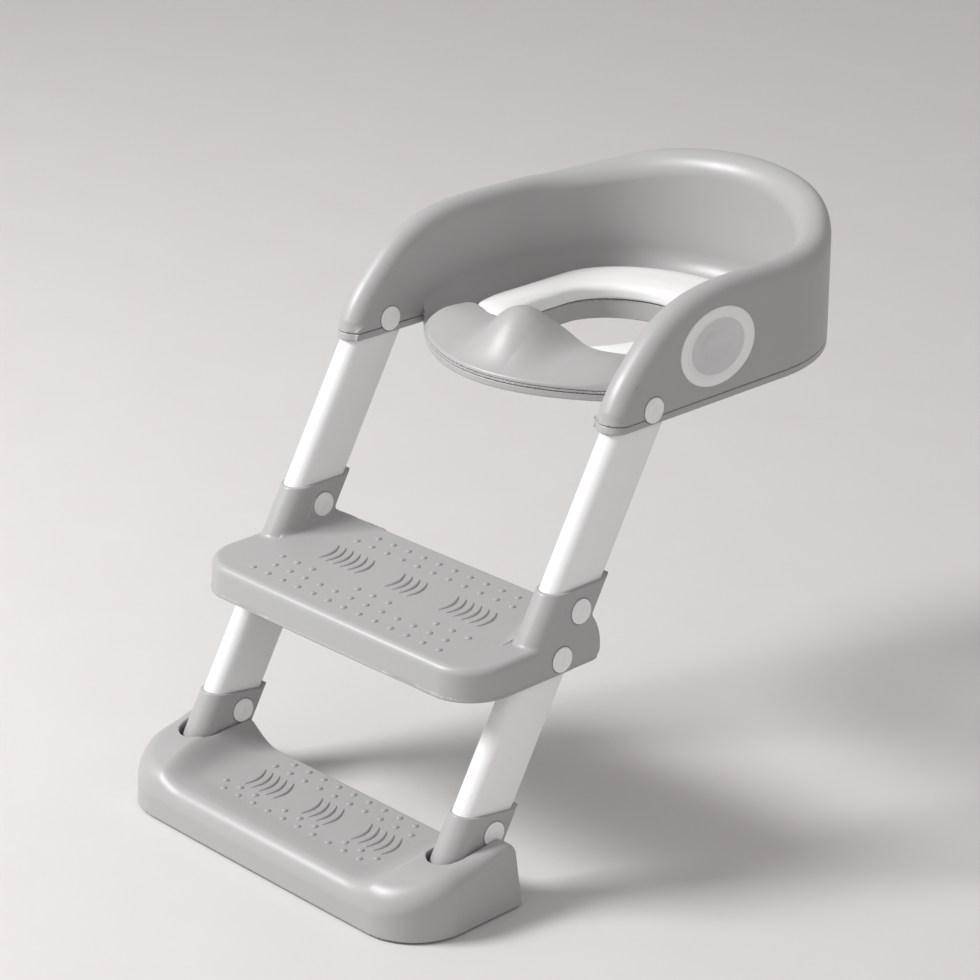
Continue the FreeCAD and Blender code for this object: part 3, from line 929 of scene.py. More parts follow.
# --- seat -------------------------------------------------------------------------------------------
@dataclass(frozen=True)
class SeatShell:
    """Upper moulding with arms, back and deck, and the band that closes it below."""

    leg: LegLine
    outer_x: float = 180.0
    arm_width: float = 32.0
    centre_y: float = 167.0
    rear_depth: float = 165.0
    rim_radius: float = 15.4
    deck_z: float = 394.0
    parting_z: float = 391.5
    band_top_z: float = 391.0
    underside_z: float = 384.6
    skirt_z: float = 376.0
    fillet: tuple[float, float] = (6.0, 26.0)
    guard_tip_y: float = -35.0
    guard_curve: float = 0.0035
    hole_half: float = 73.0
    hole_front: tuple[float, float] = (130.0, 100.0)
    hole_rear: tuple[float, float] = (150.0, 60.0)
    fold_slot: tuple[float, float] = (-20.0, 118.0)
    slot_top_z: float = 422.0
    slot_half: float = 13.0
    leg_room: tuple[float, float, float] = (12.9, 36.6, 15.5)
    hinge_room: float = 4.0
    skirt_wall: float = 3.2
    band_clear: float = 3.6
    screws: tuple[tuple[float, float], ...] = ((128.0, 70.0), (128.0, 190.0), (90.0, 262.0))
    screw_sink: tuple[float, float] = (4.6, 2.2)
    nose_rear_y: float = -16.0
    badge_centre: tuple[float, float] = (78.0, 436.0)
    badge_hole: tuple[float, float] = (42.0, 30.5)
    badge_floor_x: float = 174.5
    crest: SideCurve = SideCurve(
        (
            (-76.0, 280.0), (-46.0, 384.6), (-40.0, 406.0), (-19.0, 435.0), (24.0, 471.0), (80.0, 487.5),
            (170.0, 489.0), (219.0, 490.0), (265.0, 499.0), (299.0, 511.0), (338.0, 520.0), (400.0, 530.0),
        )
    )  # fmt: skip

    def outline(self, x: np.ndarray, y: np.ndarray, inset: float) -> np.ndarray:
        """Distance in plan to the wall's outline, drawn in by inset.

        Args:
            x: Places across.
            y: Places towards the back.
            inset: How far the outline is drawn in.

        Returns:
            Distances in millimetres, negative inside.
        """
        half = self.outer_x - inset
        round_back = ellipse_distance(x, y - self.centre_y, half, self.rear_depth - inset)
        return np.where(y > self.centre_y, round_back, np.abs(x) - half)

    def hole(self, x: np.ndarray, y: np.ndarray) -> np.ndarray:
        """Distance in plan to the edge of the opening.

        Args:
            x: Places across.
            y: Places towards the back.

        Returns:
            Distances in millimetres, negative inside.
        """
        front = ellipse_distance(x, y - self.hole_front[0], self.hole_half, self.hole_front[1])
        rear = ellipse_distance(x, y - self.hole_rear[0], self.hole_half, self.hole_rear[1])
        side = np.abs(x) - self.hole_half
        return np.where(y < self.hole_front[0], front, np.where(y > self.hole_rear[0], rear, side))

    def open_front(self, x: np.ndarray, y: np.ndarray) -> np.ndarray:
        """Distance in plan to the free space in front of the deck, between the arms.

        Args:
            x: Places across.
            y: Places towards the back.

        Returns:
            Distances in millimetres, negative inside.
        """
        ahead = y - self.guard_tip_y - self.guard_curve * x * x
        ahead = ahead / np.sqrt(1.0 + (2 * self.guard_curve * x) ** 2)
        return np.maximum(ahead, self.outline(x, y, self.arm_width))

    def leg_space(self, x: np.ndarray, y: np.ndarray, z: np.ndarray) -> np.ndarray:
        """Distance to the room that a leg needs at rest and folded.

        Args:
            x: Places across.
            y: Places towards the back.
            z: Heights.

        Returns:
            Distances in millimetres, negative inside.
        """
        along, _ = self.leg.read(y, z)
        section = self.leg.section(x, y, z, *self.leg_room, 1.0)
        at_rest = np.maximum(section, along - self.leg.hinge_along - self.hinge_room)
        low, high = self.fold_slot
        slot = np.maximum(np.abs(np.abs(x) - self.leg.x) - self.slot_half, np.maximum(low - y, y - high))
        return np.minimum(at_rest, np.maximum(slot, z - self.slot_top_z))

    def solid(self, x: np.ndarray, y: np.ndarray, z: np.ndarray) -> np.ndarray:
        """Distance to wall and deck together, endless below.

        Args:
            x: Places across.
            y: Places towards the back.
            z: Heights.

        Returns:
            Distances in millimetres, negative inside.
        """
        outer, inner = self.outline(x, y, 0.0), self.outline(x, y, self.arm_width)
        wall = rounded_meet(np.maximum(outer, -inner), self.crest.distance(y, z), self.rim_radius)
        radius = self.fillet[0] + (self.fillet[1] - self.fillet[0]) * ease(y, 5.0, 95.0)
        deck = np.maximum(z - self.deck_z, np.minimum(inner, self.nose_rear_y - y))
        body = np.maximum(rounded_join(wall, deck, radius), outer)
        return carve(body, self.open_front(x, y))

    def shell(self, x: np.ndarray, y: np.ndarray, z: np.ndarray) -> np.ndarray:
        """Distance to the upper moulding.

        Args:
            x: Places across.
            y: Places towards the back.
            z: Heights.

        Returns:
            Distances in millimetres, negative inside.
        """
        body = rounded_meet(self.solid(x, y, z), self.parting_z - z, 0.7)
        badge = ellipse_distance(y - self.badge_centre[0], z - self.badge_centre[1], *self.badge_hole)
        body = carve(body, np.maximum(badge, self.badge_floor_x - np.abs(x)))
        hole = self.hole(x, y)
        body = carve(body, hole, 1.0)
        ring = np.maximum(hole - self.skirt_wall, -hole)
        skirt = np.maximum(ring, np.maximum(self.skirt_z - z, z - self.deck_z))
        return carve(np.minimum(body, skirt), self.leg_space(x, y, z))

    def band(self, x: np.ndarray, y: np.ndarray, z: np.ndarray) -> np.ndarray:
        """Distance to the lower moulding.

        Args:
            x: Places across.
            y: Places towards the back.
            z: Heights.

        Returns:
            Distances in millimetres, negative inside.
        """
        body = rounded_meet(self.solid(x, y, z) + 0.25, self.underside_z - z, 1.4)
        body = rounded_meet(body, z - self.band_top_z, 0.6)
        body = carve(body, self.hole(x, y) - self.band_clear)
        radius, depth = self.screw_sink
        for screw_x, screw_y in self.screws:
            sink = np.hypot(np.abs(x) - screw_x, y - screw_y) - radius
            body = carve(body, np.maximum(sink, z - self.underside_z - depth))
        return carve(body, self.leg_space(x, y, z))

    def build(self, shop: Workshop, pitch: float) -> None:
        """Makes the two mouldings.

        Args:
            shop: Where pieces are made.
            pitch: Spacing of the net.
        """
        space = Mould((-186.0, -64.0, 372.0), (186.0, 338.0, 526.0), pitch)
        shop.piece(
            "seat_upper_moulding", Body.SEAT, Slot.GREY, GREY_SATIN,
            *space.skin(self.shell), ("seat_shell",),
        )  # fmt: skip
        thin = Mould((-186.0, -64.0, 381.0), (186.0, 338.0, 396.0), pitch * 0.8)
        shop.piece(
            "seat_lower_band", Body.SEAT, Slot.GREY, GREY_SATIN,
            *thin.skin(self.band), ("seat_bottom_plate",),
        )  # fmt: skip


@dataclass(frozen=True)
class SplashGuard:
    """Front guard between the arms: low shoulders and a rounded hump in the middle."""

    shell: SeatShell
    foot_z: float = 394.3
    lip_z: float = 397.6
    shoulder_z: float = 411.8
    hump: float = 29.0
    hump_half: float = 60.0
    peak_y: float = 21.0
    rear_y: float = 50.4
    half_x: float = 122.5

    def bell(self, x: np.ndarray) -> np.ndarray:
        """Share of the hump's height at a place across."""
        return (0.5 + 0.5 * np.cos(math.pi * np.clip(np.abs(x) / self.hump_half, 0.0, 1.0))) ** 1.15

    def front(self, x: np.ndarray) -> np.ndarray:
        """Y of the front edge."""
        return self.shell.guard_tip_y + self.shell.guard_curve * x * x

    def rear(self, x: np.ndarray) -> np.ndarray:
        """Y of the rear edge, which runs further back beside the pad."""
        return self.rear_y + 14.0 * ease(np.abs(x), 66.0, 108.0)

    def top(self, x: np.ndarray, y: np.ndarray) -> np.ndarray:
        """Height of the upper surface.

        Args:
            x: Places across.
            y: Places towards the back.

        Returns:
            Heights in millimetres.
        """
        bell = self.bell(x)
        peak = self.peak_y + 22.0 * (1.0 - bell) * ease(np.abs(x), 0.0, 60.0)
        crest = self.shoulder_z + self.hump * bell - 3.0 * ease(np.abs(x), 95.0, 122.0)
        front = self.front(x)
        share = np.clip((y - front) / np.maximum(peak - front, 12.0), 0.0, 1.0)
        swept = share * share * (3.0 - 2.0 * share)
        arched = np.sin(0.5 * math.pi * share)
        rise = arched + (0.35 * arched + 0.65 * swept - arched) * np.clip(bell * 1.6, 0.0, 1.0)
        behind = np.maximum(y - peak, 0.0) / 30.0
        return self.lip_z + (crest - self.lip_z) * rise - (2.0 + 0.55 * self.hump * bell) * behind**2

    def form(self, x: np.ndarray, y: np.ndarray, z: np.ndarray) -> np.ndarray:
        """Distance to the guard.

        Args:
            x: Places across.
            y: Places towards the back.
            z: Heights.

        Returns:
            Distances in millimetres, negative inside.
        """
        bend = np.sqrt(1.0 + (2 * self.shell.guard_curve * x) ** 2)
        edge = (self.front(x) - y) / bend
        side = np.abs(x) - self.half_x + 0.0042 * np.maximum(y - 14.0, 0.0) ** 2
        plan = rounded_meet(rounded_meet(edge, side, 6.0), y - self.rear(x), 4.0)
        lean = 0.16 * (z - self.foot_z) * ease(np.abs(x), 90.0, 120.0)
        radius = 1.5 + 4.5 * ease(np.abs(x), 96.0, 118.0) + 2.6 * ease(y, 30.0, 44.0)
        body = rounded_meet(plan + lean, height_distance(x, y, z, self.top), radius)
        return np.maximum(body, self.foot_z - z)

    def build(self, shop: Workshop, pitch: float) -> None:
        """Makes the guard.

        Args:
            shop: Where pieces are made.
            pitch: Spacing of the net.
        """
        space = Mould((-130.0, -42.0, 388.0), (130.0, 74.0, 448.0), pitch * 0.75)
        shop.piece(
            "front_splash_guard", Body.SEAT, Slot.GREY, GREY_SATIN,
            *space.skin(self.form), ("splash_guard",),
        )  # fmt: skip


@dataclass(frozen=True)
class SeatPad:
    """Soft white ring on the deck, open at the front where the guard stands."""

    shell: SeatShell
    guard: SplashGuard
    half_x: float = 114.0
    front: tuple[float, float] = (110.0, 120.0)
    rear: tuple[float, float] = (186.0, 87.0)
    top_z: float = 409.4
    hole_grow: float = -2.0
    gap: float = 1.0
    pressure: float = 3.0
    tension: float = 30.0
    steps: int = 14
    reach: float = 1.3

    def form(self, x: np.ndarray, y: np.ndarray, z: np.ndarray) -> np.ndarray:
        """Distance to the pad before it is filled.

        Args:
            x: Places across.
            y: Places towards the back.
            z: Heights.

        Returns:
            Distances in millimetres, negative inside.
        """
        front = ellipse_distance(x, y - self.front[0], self.half_x, self.front[1])
        rear = ellipse_distance(x, y - self.rear[0], self.half_x, self.rear[1])
        side = np.abs(x) - self.half_x
        outer = np.where(y < self.front[0], front, np.where(y > self.rear[0], rear, side))
        ring = carve(outer, self.shell.hole(x, y) - self.hole_grow)
        ring = rounded_meet(ring, self.guard.rear(x) + self.gap - y, 7.0)
        middle = 0.5 * (self.top_z + self.shell.deck_z)
        crown = 1.2 * ease(-ring, 2.0, 16.0)
        upper = rounded_meet(ring, z - self.top_z + 1.0 - crown, 6.5)
        lower = rounded_meet(ring, self.shell.deck_z + 0.4 - z, 3.5)
        return np.where(z > middle, upper, lower)

    def fill(self, piece: bpy.types.Object) -> None:
        """Blows the pad up a little, as its foam does, and smooths it.

        Args:
            piece: The pad before filling.
        """
        mesh = piece.data
        before = np.array([vertex.co for vertex in mesh.vertices], float)
        cloth = piece.modifiers.new("foam", "CLOTH")
        cloth.settings.use_pressure = True
        cloth.settings.uniform_pressure_force = self.pressure
        cloth.settings.effector_weights.gravity = 0.0
        cloth.settings.tension_stiffness = self.tension
        cloth.point_cache.frame_start, cloth.point_cache.frame_end = 1, self.steps
        for step in range(1, self.steps + 1):
            bpy.context.scene.frame_set(step)
        graph = bpy.context.evaluated_depsgraph_get()
        after = np.array([vertex.co for vertex in piece.evaluated_get(graph).data.vertices], float)
        piece.modifiers.remove(cloth)
        bpy.context.scene.frame_set(1)
        move = after - before
        size = np.linalg.norm(move, axis=1, keepdims=True)
        move *= np.minimum(1.0, self.reach / 1000.0 / np.maximum(size, 1e-9))
        floor = self.shell.deck_z / 1000.0
        placed = before + move
        placed[:, 2] = np.maximum(placed[:, 2], floor + 0.0002)
        mesh.vertices.foreach_set("co", placed.ravel())
        mesh.update()

    def build(self, shop: Workshop, pitch: float) -> None:
        """Makes the pad.

        Args:
            shop: Where pieces are made.
            pitch: Spacing of the net.
        """
        space = Mould((-122.0, 40.0, 389.0), (122.0, 282.0, 416.0), max(pitch, 1.8))
        points, faces, _ = space.skin(self.form)
        pad = shop.piece("soft_seat_pad", Body.SEAT, Slot.PAD, PAD_SKIN, points, faces, None, ("seat_pad",))
        self.fill(pad)
        smooth = pad.modifiers.new("rounding", "SUBSURF")
        smooth.levels = smooth.render_levels = 1


@dataclass(frozen=True)
class ArmBadges:
    """Oval white frames with a hollow dish, one on the outside of each arm; the dish is a darker grey,
    painted shade of its hollow.
    """

    centre: tuple[float, float] = (78.0, 436.0)
    half: tuple[float, float] = (46.5, 35.0)
    face_x: float = 180.0
    dish_edge_x: float = 180.6
    rim: float = 9.2
    dish_depth: float = 3.9

    def rows(self) -> list[tuple[float, float]]:
        """How far in from the edge, and how far out of the arm, each ring of points lies.

        Returns:
            One pair for each ring.
        """
        rim = [(0.0, -1.5), (0.0, 0.3), (0.35, 0.95), (1.1, 1.4), (2.2, 1.6),
               (self.rim - 2.5, 1.6), (self.rim - 1.1, 1.45), (self.rim, 0.95)]  # fmt: skip
        run = self.half[1] - self.rim
        dish = [
            (self.rim + run * share, 0.95 - self.dish_depth * math.sin(0.5 * math.pi * share))
            for share in (0.03, 0.08, 0.16, 0.28, 0.42, 0.58, 0.76, 0.94)
        ]
        return rim + dish

    def badge(self) -> tuple[np.ndarray, list[list[int]]]:
        """One badge on the right arm.

        Returns:
            Points and faces.
        """
        turns = np.linspace(0, 2 * math.pi, 96, endpoint=False)
        rings = []
        for inset, out in self.rows():
            y = (self.half[0] - inset * self.half[0] / self.half[1]) * np.cos(turns) + self.centre[0]
            z = (self.half[1] - inset) * np.sin(turns) + self.centre[1]
            if inset <= self.rim:
                y = (self.half[0] - inset) * np.cos(turns) + self.centre[0]
            rings.append(np.stack([np.full_like(y, self.face_x + out), y, z], 1))
        return outward(*loft(rings))

    def build(self, shop: Workshop) -> None:
        """Makes both badges.

        Args:
            shop: Where pieces are made.
        """
        points, faces = self.badge()
        for side, sign in SIDES.items():
            turned = faces if sign > 0 else [face[::-1] for face in faces]
            nodes = (f"badge_ring_{side}", f"badge_dish_{side}")
            badge = shop.piece(
                f"arm_badge_{side}", Body.SEAT, Slot.WHITE, WHITE_GLOSS,
                mirror(points, sign), turned, None, nodes,
            )  # fmt: skip
            # The dish faces get the darker grey, painted shade in the hollow.
            badge.data.materials.append(DISH_PAINTED_SHADE.material())
            for face in badge.data.polygons:
                if min(abs(badge.data.vertices[at].co.x) for at in face.vertices) * 1000.0 < self.dish_edge_x:
                    face.material_index = 1


# --- treads -----------------------------------------------------------------------------------------
@dataclass(frozen=True)
class GripPattern:
    """Raised dots in rows, and three groups of curved ribs between them."""

    top_z: float
    dot_rows: tuple[tuple[float, float, float, int], ...]
    rib_y: tuple[float, float]
    rib_groups: tuple[tuple[float, int], ...]
    dot_radius: float = 3.1
    dot_height: float = 1.4
    rib_width: float = 4.4
    rib_height: float = 1.6
    rib_pitch: float = 9.5

    def dots(self) -> tuple[np.ndarray, list[list[int]]]:
        """All dots of the tread.

        Returns:
            Points and faces.
        """
        turns = np.linspace(0, 2 * math.pi, 16, endpoint=False)
        rows = ((1.0, -0.4), (0.96, 0.25), (0.8, 0.62), (0.5, 0.92), (0.2, 1.0))
        parts = []
        for y, first_x, pitch, count in self.dot_rows:
            for at in range(count):
                x = first_x + at * pitch
                rings = []
                for share, rise in rows:
                    radius = self.dot_radius * share
                    up = np.full_like(turns, self.top_z + self.dot_height * rise)
                    rings.append(np.stack([x + radius * np.cos(turns), y + radius * np.sin(turns), up], 1))
                parts.append(outward(*loft(rings)))
        return merged(parts)

    def rib(self, x: float, bow: float) -> tuple[np.ndarray, list[list[int]]]:
        """One curved rib, thin at its ends.

        Args:
            x: Where its middle lies.
            bow: How far, and to which side, it bows.

        Returns:
            Points and faces.
        """
        count, (front, rear) = 18, self.rib_y
        rings = []
        for at in range(count + 1):
            share = at / count
            along = front + (rear - front) * share
            centre = x + bow * math.sin(math.pi * share) - 0.22 * (along - 0.5 * (front + rear))
            swell = math.sin(math.pi * (0.06 + 0.88 * share)) ** 0.55
            half, high = 0.5 * self.rib_width * swell, self.rib_height * swell
            arc = np.linspace(0, math.pi, 9)
            crest = [(centre + half * math.cos(a), along, self.top_z + high * math.sin(a)) for a in arc]
            rings.append(np.array([(centre + half, along, self.top_z - 0.5), *crest,
                                   (centre - half, along, self.top_z - 0.5)]))  # fmt: skip
        return outward(*loft(rings))

    def ribs(self) -> tuple[np.ndarray, list[list[int]]]:
        """All ribs of the tread.

        Returns:
            Points and faces.
        """
        parts = []
        for middle, count in self.rib_groups:
            for at in range(count):
                offset = (at - 0.5 * (count - 1)) * self.rib_pitch
                parts.append(self.rib(middle + offset, 4.2))
        return merged(parts)

    def build(self, shop: Workshop, name: str, body: Body) -> None:
        """Makes the dots and ribs of one tread."""
        shop.piece(f"{name}_grip_dots", body, Slot.GREY, GREY_TREAD, *self.dots())
        shop.piece(f"{name}_grip_ribs", body, Slot.GREY, GREY_TREAD, *self.ribs())


def tread_plan(
    x: np.ndarray, y: np.ndarray, half: float, front: float | np.ndarray, rear: float, radius: float
) -> np.ndarray:
    """Distance in plan to a tread, square behind and with two round front corners."""
    across, ahead = np.abs(x) - half, front - y
    return np.maximum(rounded_meet(across, ahead, radius), y - rear)


@dataclass(frozen=True)
class MiddleStep:
    """Upper tread with knuckle lobes and the two sleeves that hold the leg tubes."""

    leg: LegLine
    half_x: float = 180.0
    inner_x: float = 148.0
    front_y: float = -216.0
    rear_y: float = -50.0
    bottom_z: float = 189.3
    top_z: float = 219.0
    corner: float = 42.0
    edge: float = 7.0
    skin: float = 4.0
    lobe: float = 47.0
    lobe_corner: float = 9.0
    mouth_z: float = 261.4
    sleeve: tuple[float, float, float] = (16.0, 38.2, 16.8)
    cheek_start_y: float = -140.0
    cheek_reach: float = 43.0
    cheek_slope: float = 0.43
    cheek_cut: float = 20.0
    under_ribs: tuple[float, ...] = (30.0, 90.0)

    def tread(self, x: np.ndarray, y: np.ndarray, z: np.ndarray) -> np.ndarray:
        """Distance to the tread block, endless below.

        Args:
            x: Places across.
            y: Places towards the back.
            z: Heights.

        Returns:
            Distances in millimetres, negative inside.
        """
        pin_y = self.leg.point(self.leg.lower_bolt)[0]
        bulge = self.front_y + 2.6 + 1.4 * (x / self.half_x) ** 2
        draft = 0.05 * (self.top_z - z)
        wide = tread_plan(x, y + draft, self.half_x, bulge, pin_y + 8.0, self.corner)
        wide = np.maximum(wide, np.abs(x) - self.half_x)
        narrow = np.maximum(np.maximum(np.abs(x) - self.inner_x - 2, y - self.rear_y), pin_y - 10.0 - y)
        plan = np.minimum(wide, narrow)
        radius = self.edge - 3.5 * ease(y, -120.0, -60.0)
        return rounded_meet(plan, z - self.top_z, radius)

    def cheeks(self, x: np.ndarray, y: np.ndarray, z: np.ndarray) -> np.ndarray:
        """Distance to the two fairings that rise from the tread's rear corners to the lobes.

        Args:
            x: Places across.
            y: Places towards the back.
            z: Heights.

        Returns:
            Distances in millimetres, negative inside.
        """
        run = self.rear_y - self.cheek_start_y
        size = math.hypot(self.cheek_reach, run)
        across = self.inner_x - np.abs(x)
        inward = ((y - self.cheek_start_y) * self.cheek_reach - across * run) / size
        slope = (z - self.top_z - self.cheek_slope * inward) / math.hypot(1.0, self.cheek_slope)
        rear = y - self.rear_y + self.cheek_cut * (self.cheek_reach - across) / self.cheek_reach
        return np.maximum(np.maximum(slope, rear), np.maximum(-inward - 2.0, np.abs(x) - self.inner_x - 2))

    def solid(self, x: np.ndarray, y: np.ndarray, z: np.ndarray) -> np.ndarray:
        """Distance to tread, lobes and sleeves together, endless below.

        Args:
            x: Places across.
            y: Places towards the back.
            z: Heights.

        Returns:
            Distances in millimetres, negative inside.
        """
        body = rounded_join(self.tread(x, y, z), self.cheeks(x, y, z), 2.0)
        pin_y, pin_z = self.leg.point(self.leg.lower_bolt)
        half, front, rear = self.sleeve
        _, ahead = self.leg.read(y, z)
        mouth = self.mouth_z + 4.5 * ease(-ahead, rear - 5.0, rear)
        sleeve = rounded_meet(self.leg.section(x, y, z, half, front, rear, 2.5), z - mouth, 0.9)
        beside = np.abs(np.abs(x) - self.leg.x) - half
        lobe = rounded_meet(np.hypot(y - pin_y, z - pin_z) - self.lobe, self.bottom_z - z, self.lobe_corner)
        lobe = np.maximum(rounded_meet(lobe, beside, 2.0), ahead - 12.0)
        body = np.minimum(rounded_join(body, sleeve, 2.5), rounded_join(sleeve, lobe, 2.0))
        return np.maximum(body, np.abs(x) - self.half_x)

    def form(self, x: np.ndarray, y: np.ndarray, z: np.ndarray) -> np.ndarray:
        """Distance to the finished moulding.

        Args:
            x: Places across.
            y: Places towards the back.
            z: Heights.

        Returns:
            Distances in millimetres, negative inside.
        """
        solid = self.solid(x, y, z)
        lip = np.maximum(solid - 0.9, z - self.bottom_z - 2.6)
        body = rounded_meet(np.minimum(solid, lip), self.bottom_z - z, 1.2)
        plan = np.maximum(np.abs(x) - self.inner_x + self.skin, solid + self.skin)
        body = carve(body, np.maximum(plan, z - self.top_z + self.skin))
        for rib_x in self.under_ribs:
            rib = np.maximum(np.abs(np.abs(x) - rib_x) - 1.4, self.bottom_z + 6.0 - z)
            body = np.minimum(body, np.maximum(rib, np.maximum(solid + 1.0, z - self.top_z + 1.5)))
        return body

    def pattern(self) -> GripPattern:
        """The dots and ribs on the tread.

        Returns:
            The pattern.
        """
        rows = ((-192.0, -120.0, 20.0, 13), (-175.0, -110.0, 20.0, 12), (-158.0, -120.0, 20.0, 3),
                (-158.0, -20.0, 20.0, 3), (-158.0, 80.0, 20.0, 3), (-87.0, -100.0, 20.0, 11),
                (-70.0, -90.0, 20.0, 10))  # fmt: skip
        return GripPattern(self.top_z, rows, (-138.0, -106.0), ((-76.0, 6), (2.0, 4), (80.0, 6)))

    def build(self, shop: Workshop, pitch: float) -> None:
        """Makes the step and its grip pattern.

        Args:
            shop: Where pieces are made.
            pitch: Spacing of the net.
        """
        space = Mould((-186.0, -224.0, 184.0), (186.0, -42.0, 272.0), pitch)
        shop.piece(
            "middle_tread_moulding", Body.LADDER, Slot.GREY, GREY_SATIN,
            *space.skin(self.form), ("middle_step",),
        )  # fmt: skip
        self.pattern().build(shop, "middle_tread", Body.LADDER)


@dataclass(frozen=True)
class FootSleeves:
    """Sockets on the feet of the legs, which turn in the foot step."""

    leg: LegLine
    section: tuple[float, float, float] = (16.0, 38.2, 16.8)
    block_end: float = -47.5
    mouth_along: float = 26.0
    mouth_slope: float = math.radians(9.0)

    def form(self, x: np.ndarray, y: np.ndarray, z: np.ndarray) -> np.ndarray:
        """Distance to the right-hand socket.

        Args:
            x: Places across.
            y: Places towards the back.
            z: Heights.

        Returns:
            Distances in millimetres, negative inside.
        """
        half, front, rear = self.section
        along, ahead = self.leg.read(y, z)
        rear_y, rear_z = self.leg.point(self.mouth_along, -rear)
        tip = 4.5 * ease(-ahead, rear - 5.0, rear)
        slope = math.tan(self.mouth_slope)
        mouth = (z - rear_z + slope * (y - rear_y) - tip) * math.cos(self.mouth_slope)
        body = rounded_meet(self.leg.section(x, y, z, half, front, rear, 2.5), mouth, 0.9)
        body = rounded_meet(body, self.block_end - along, 3.0)
        return body

    def build(self, shop: Workshop, pitch: float) -> None:
        """Makes both sockets.

        Args:
            shop: Where pieces are made.
            pitch: Spacing of the net.
        """
        space = Mould((142.0, -272.0, 4.0), (186.0, -136.0, 112.0), pitch * 0.7, both_sides=False)
        points, faces, normals = space.skin(self.form)
        for side, sign in SIDES.items():
            turned = faces if sign > 0 else faces[:, ::-1]
            shop.piece(
                f"foot_socket_{side}", Body.LADDER, Slot.GREY, GREY_SATIN,
                mirror(points, sign), turned, mirror(normals, sign), (f"foot_sleeve_{side}",),
            )  # fmt: skip


@dataclass(frozen=True)
class FootStep:
    """Lower tread on the floor, with raised sides and a pocket for each leg."""

    leg: LegLine
    half_x: float = 200.0
    front_y: float = -300.0
    rear_y: float = -171.0
    corner: float = 56.0
    under_z: float = 1.6
    tread_z: float = 35.0
    tread_half: float = 116.0
    slope_x: float = 32.0
    ridge: float = 4.4
    side_rise: float = 28.0
    blend: float = 14.0
    skin: float = 5.0
    pocket_floor_z: float = 9.0
    pocket: tuple[float, float] = (18.0, 43.5)
    side_line: SideCurve = SideCurve(
        (
            (-340.0, 20.0), (-312.0, 32.0), (-300.0, 37.0), (-292.0, 41.5), (-270.0, 49.0), (-250.0, 54.5),
            (-215.0, 60.0), (-190.0, 62.5), (-183.0, 62.0), (-178.0, 58.0), (-160.0, 40.0),
        )
    )  # fmt: skip

    def top(self, x: np.ndarray, y: np.ndarray) -> np.ndarray:
        """Height of the upper surface.

        Args:
            x: Places across.
            y: Places towards the back.

        Returns:
            Heights in millimetres.
        """
        side = self.side_line.height(y)
        share = np.clip((np.abs(x) - self.tread_half + 8.0) / (self.slope_x + 8.0), 0.0, 1.4)
        depth = -rounded_meet(np.abs(x) - self.half_x, self.front_y - y, self.corner)
        ridge = self.ridge * (1.0 - ease(depth, -2.0, 46.0))
        hollow = self.tread_z + ridge + self.side_rise * (0.38 * share**2 + 0.62 * share**3)
        near = np.clip(0.5 + 0.5 * (hollow - side) / self.blend, 0.0, 1.0)
        return hollow + (side - hollow) * near - self.blend * near * (1.0 - near)

    def solid(self, x: np.ndarray, y: np.ndarray, z: np.ndarray) -> np.ndarray:
        """Distance to the outside, endless below.

        Args:
            x: Places across.
            y: Places towards the back.
            z: Heights.

        Returns:
            Distances in millimetres, negative inside.
        """
        front = self.front_y + 1.4 * (x / self.half_x) ** 2 + 0.045 * z
        plan = rounded_meet(np.abs(x) - self.half_x + 0.045 * z, front - y, self.corner)
        rear = y - self.rear_y + 0.1 * z
        cap = height_distance(x, y, z, self.top)
        radius = 4.0 + 11.0 * (1.0 - ease(y, -240.0, -185.0))
        return rounded_meet(rounded_meet(plan, cap, radius), rear, 2.5)

    def form(self, x: np.ndarray, y: np.ndarray, z: np.ndarray) -> np.ndarray:
        """Distance to the finished moulding.

        Args:
            x: Places across.
            y: Places towards the back.
            z: Heights.

        Returns:
            Distances in millimetres, negative inside.
        """
        solid = self.solid(x, y, z)
        body = rounded_meet(solid, self.under_z - z, 1.0)
        half, ahead = self.pocket
        across = np.abs(np.abs(x) - self.leg.x)
        housing = np.maximum(across - half - self.skin, self.pocket_floor_z - self.skin - z)
        inside = np.maximum(solid + self.skin, -housing)
        body = carve(body, inside)
        slot = self.leg.section(x, y, z, half, ahead, 80.0, 1.0)
        return carve(body, np.maximum(slot, self.pocket_floor_z - z), 1.2)

    def pattern(self) -> GripPattern:
        """The dots and ribs on the tread.

        Returns:
            The pattern.
        """
        rows = ((-258.0, -90.0, 20.0, 10), (-247.0, -100.0, 20.0, 3), (-247.0, -20.0, 20.0, 3),
                (-247.0, 60.0, 20.0, 3), (-198.0, -90.0, 20.0, 10), (-184.0, -80.0, 20.0, 9))  # fmt: skip
        return GripPattern(self.tread_z, rows, (-241.0, -209.0), ((-68.0, 5), (4.0, 4), (74.0, 5)))

    def build(self, shop: Workshop, pitch: float) -> None:
        """Makes the foot step and its grip pattern.

        Args:
            shop: Where pieces are made.
            pitch: Spacing of the net.
        """
        space = Mould((-206.0, -306.0, -3.0), (206.0, -165.0, 70.0), pitch)
        shop.piece(
            "foot_tread_moulding", Body.FOOT_STEP, Slot.GREY, GREY_SATIN,
            *space.skin(self.form), ("foot_step",),
        )  # fmt: skip
        self.pattern().build(shop, "foot_tread", Body.FOOT_STEP)


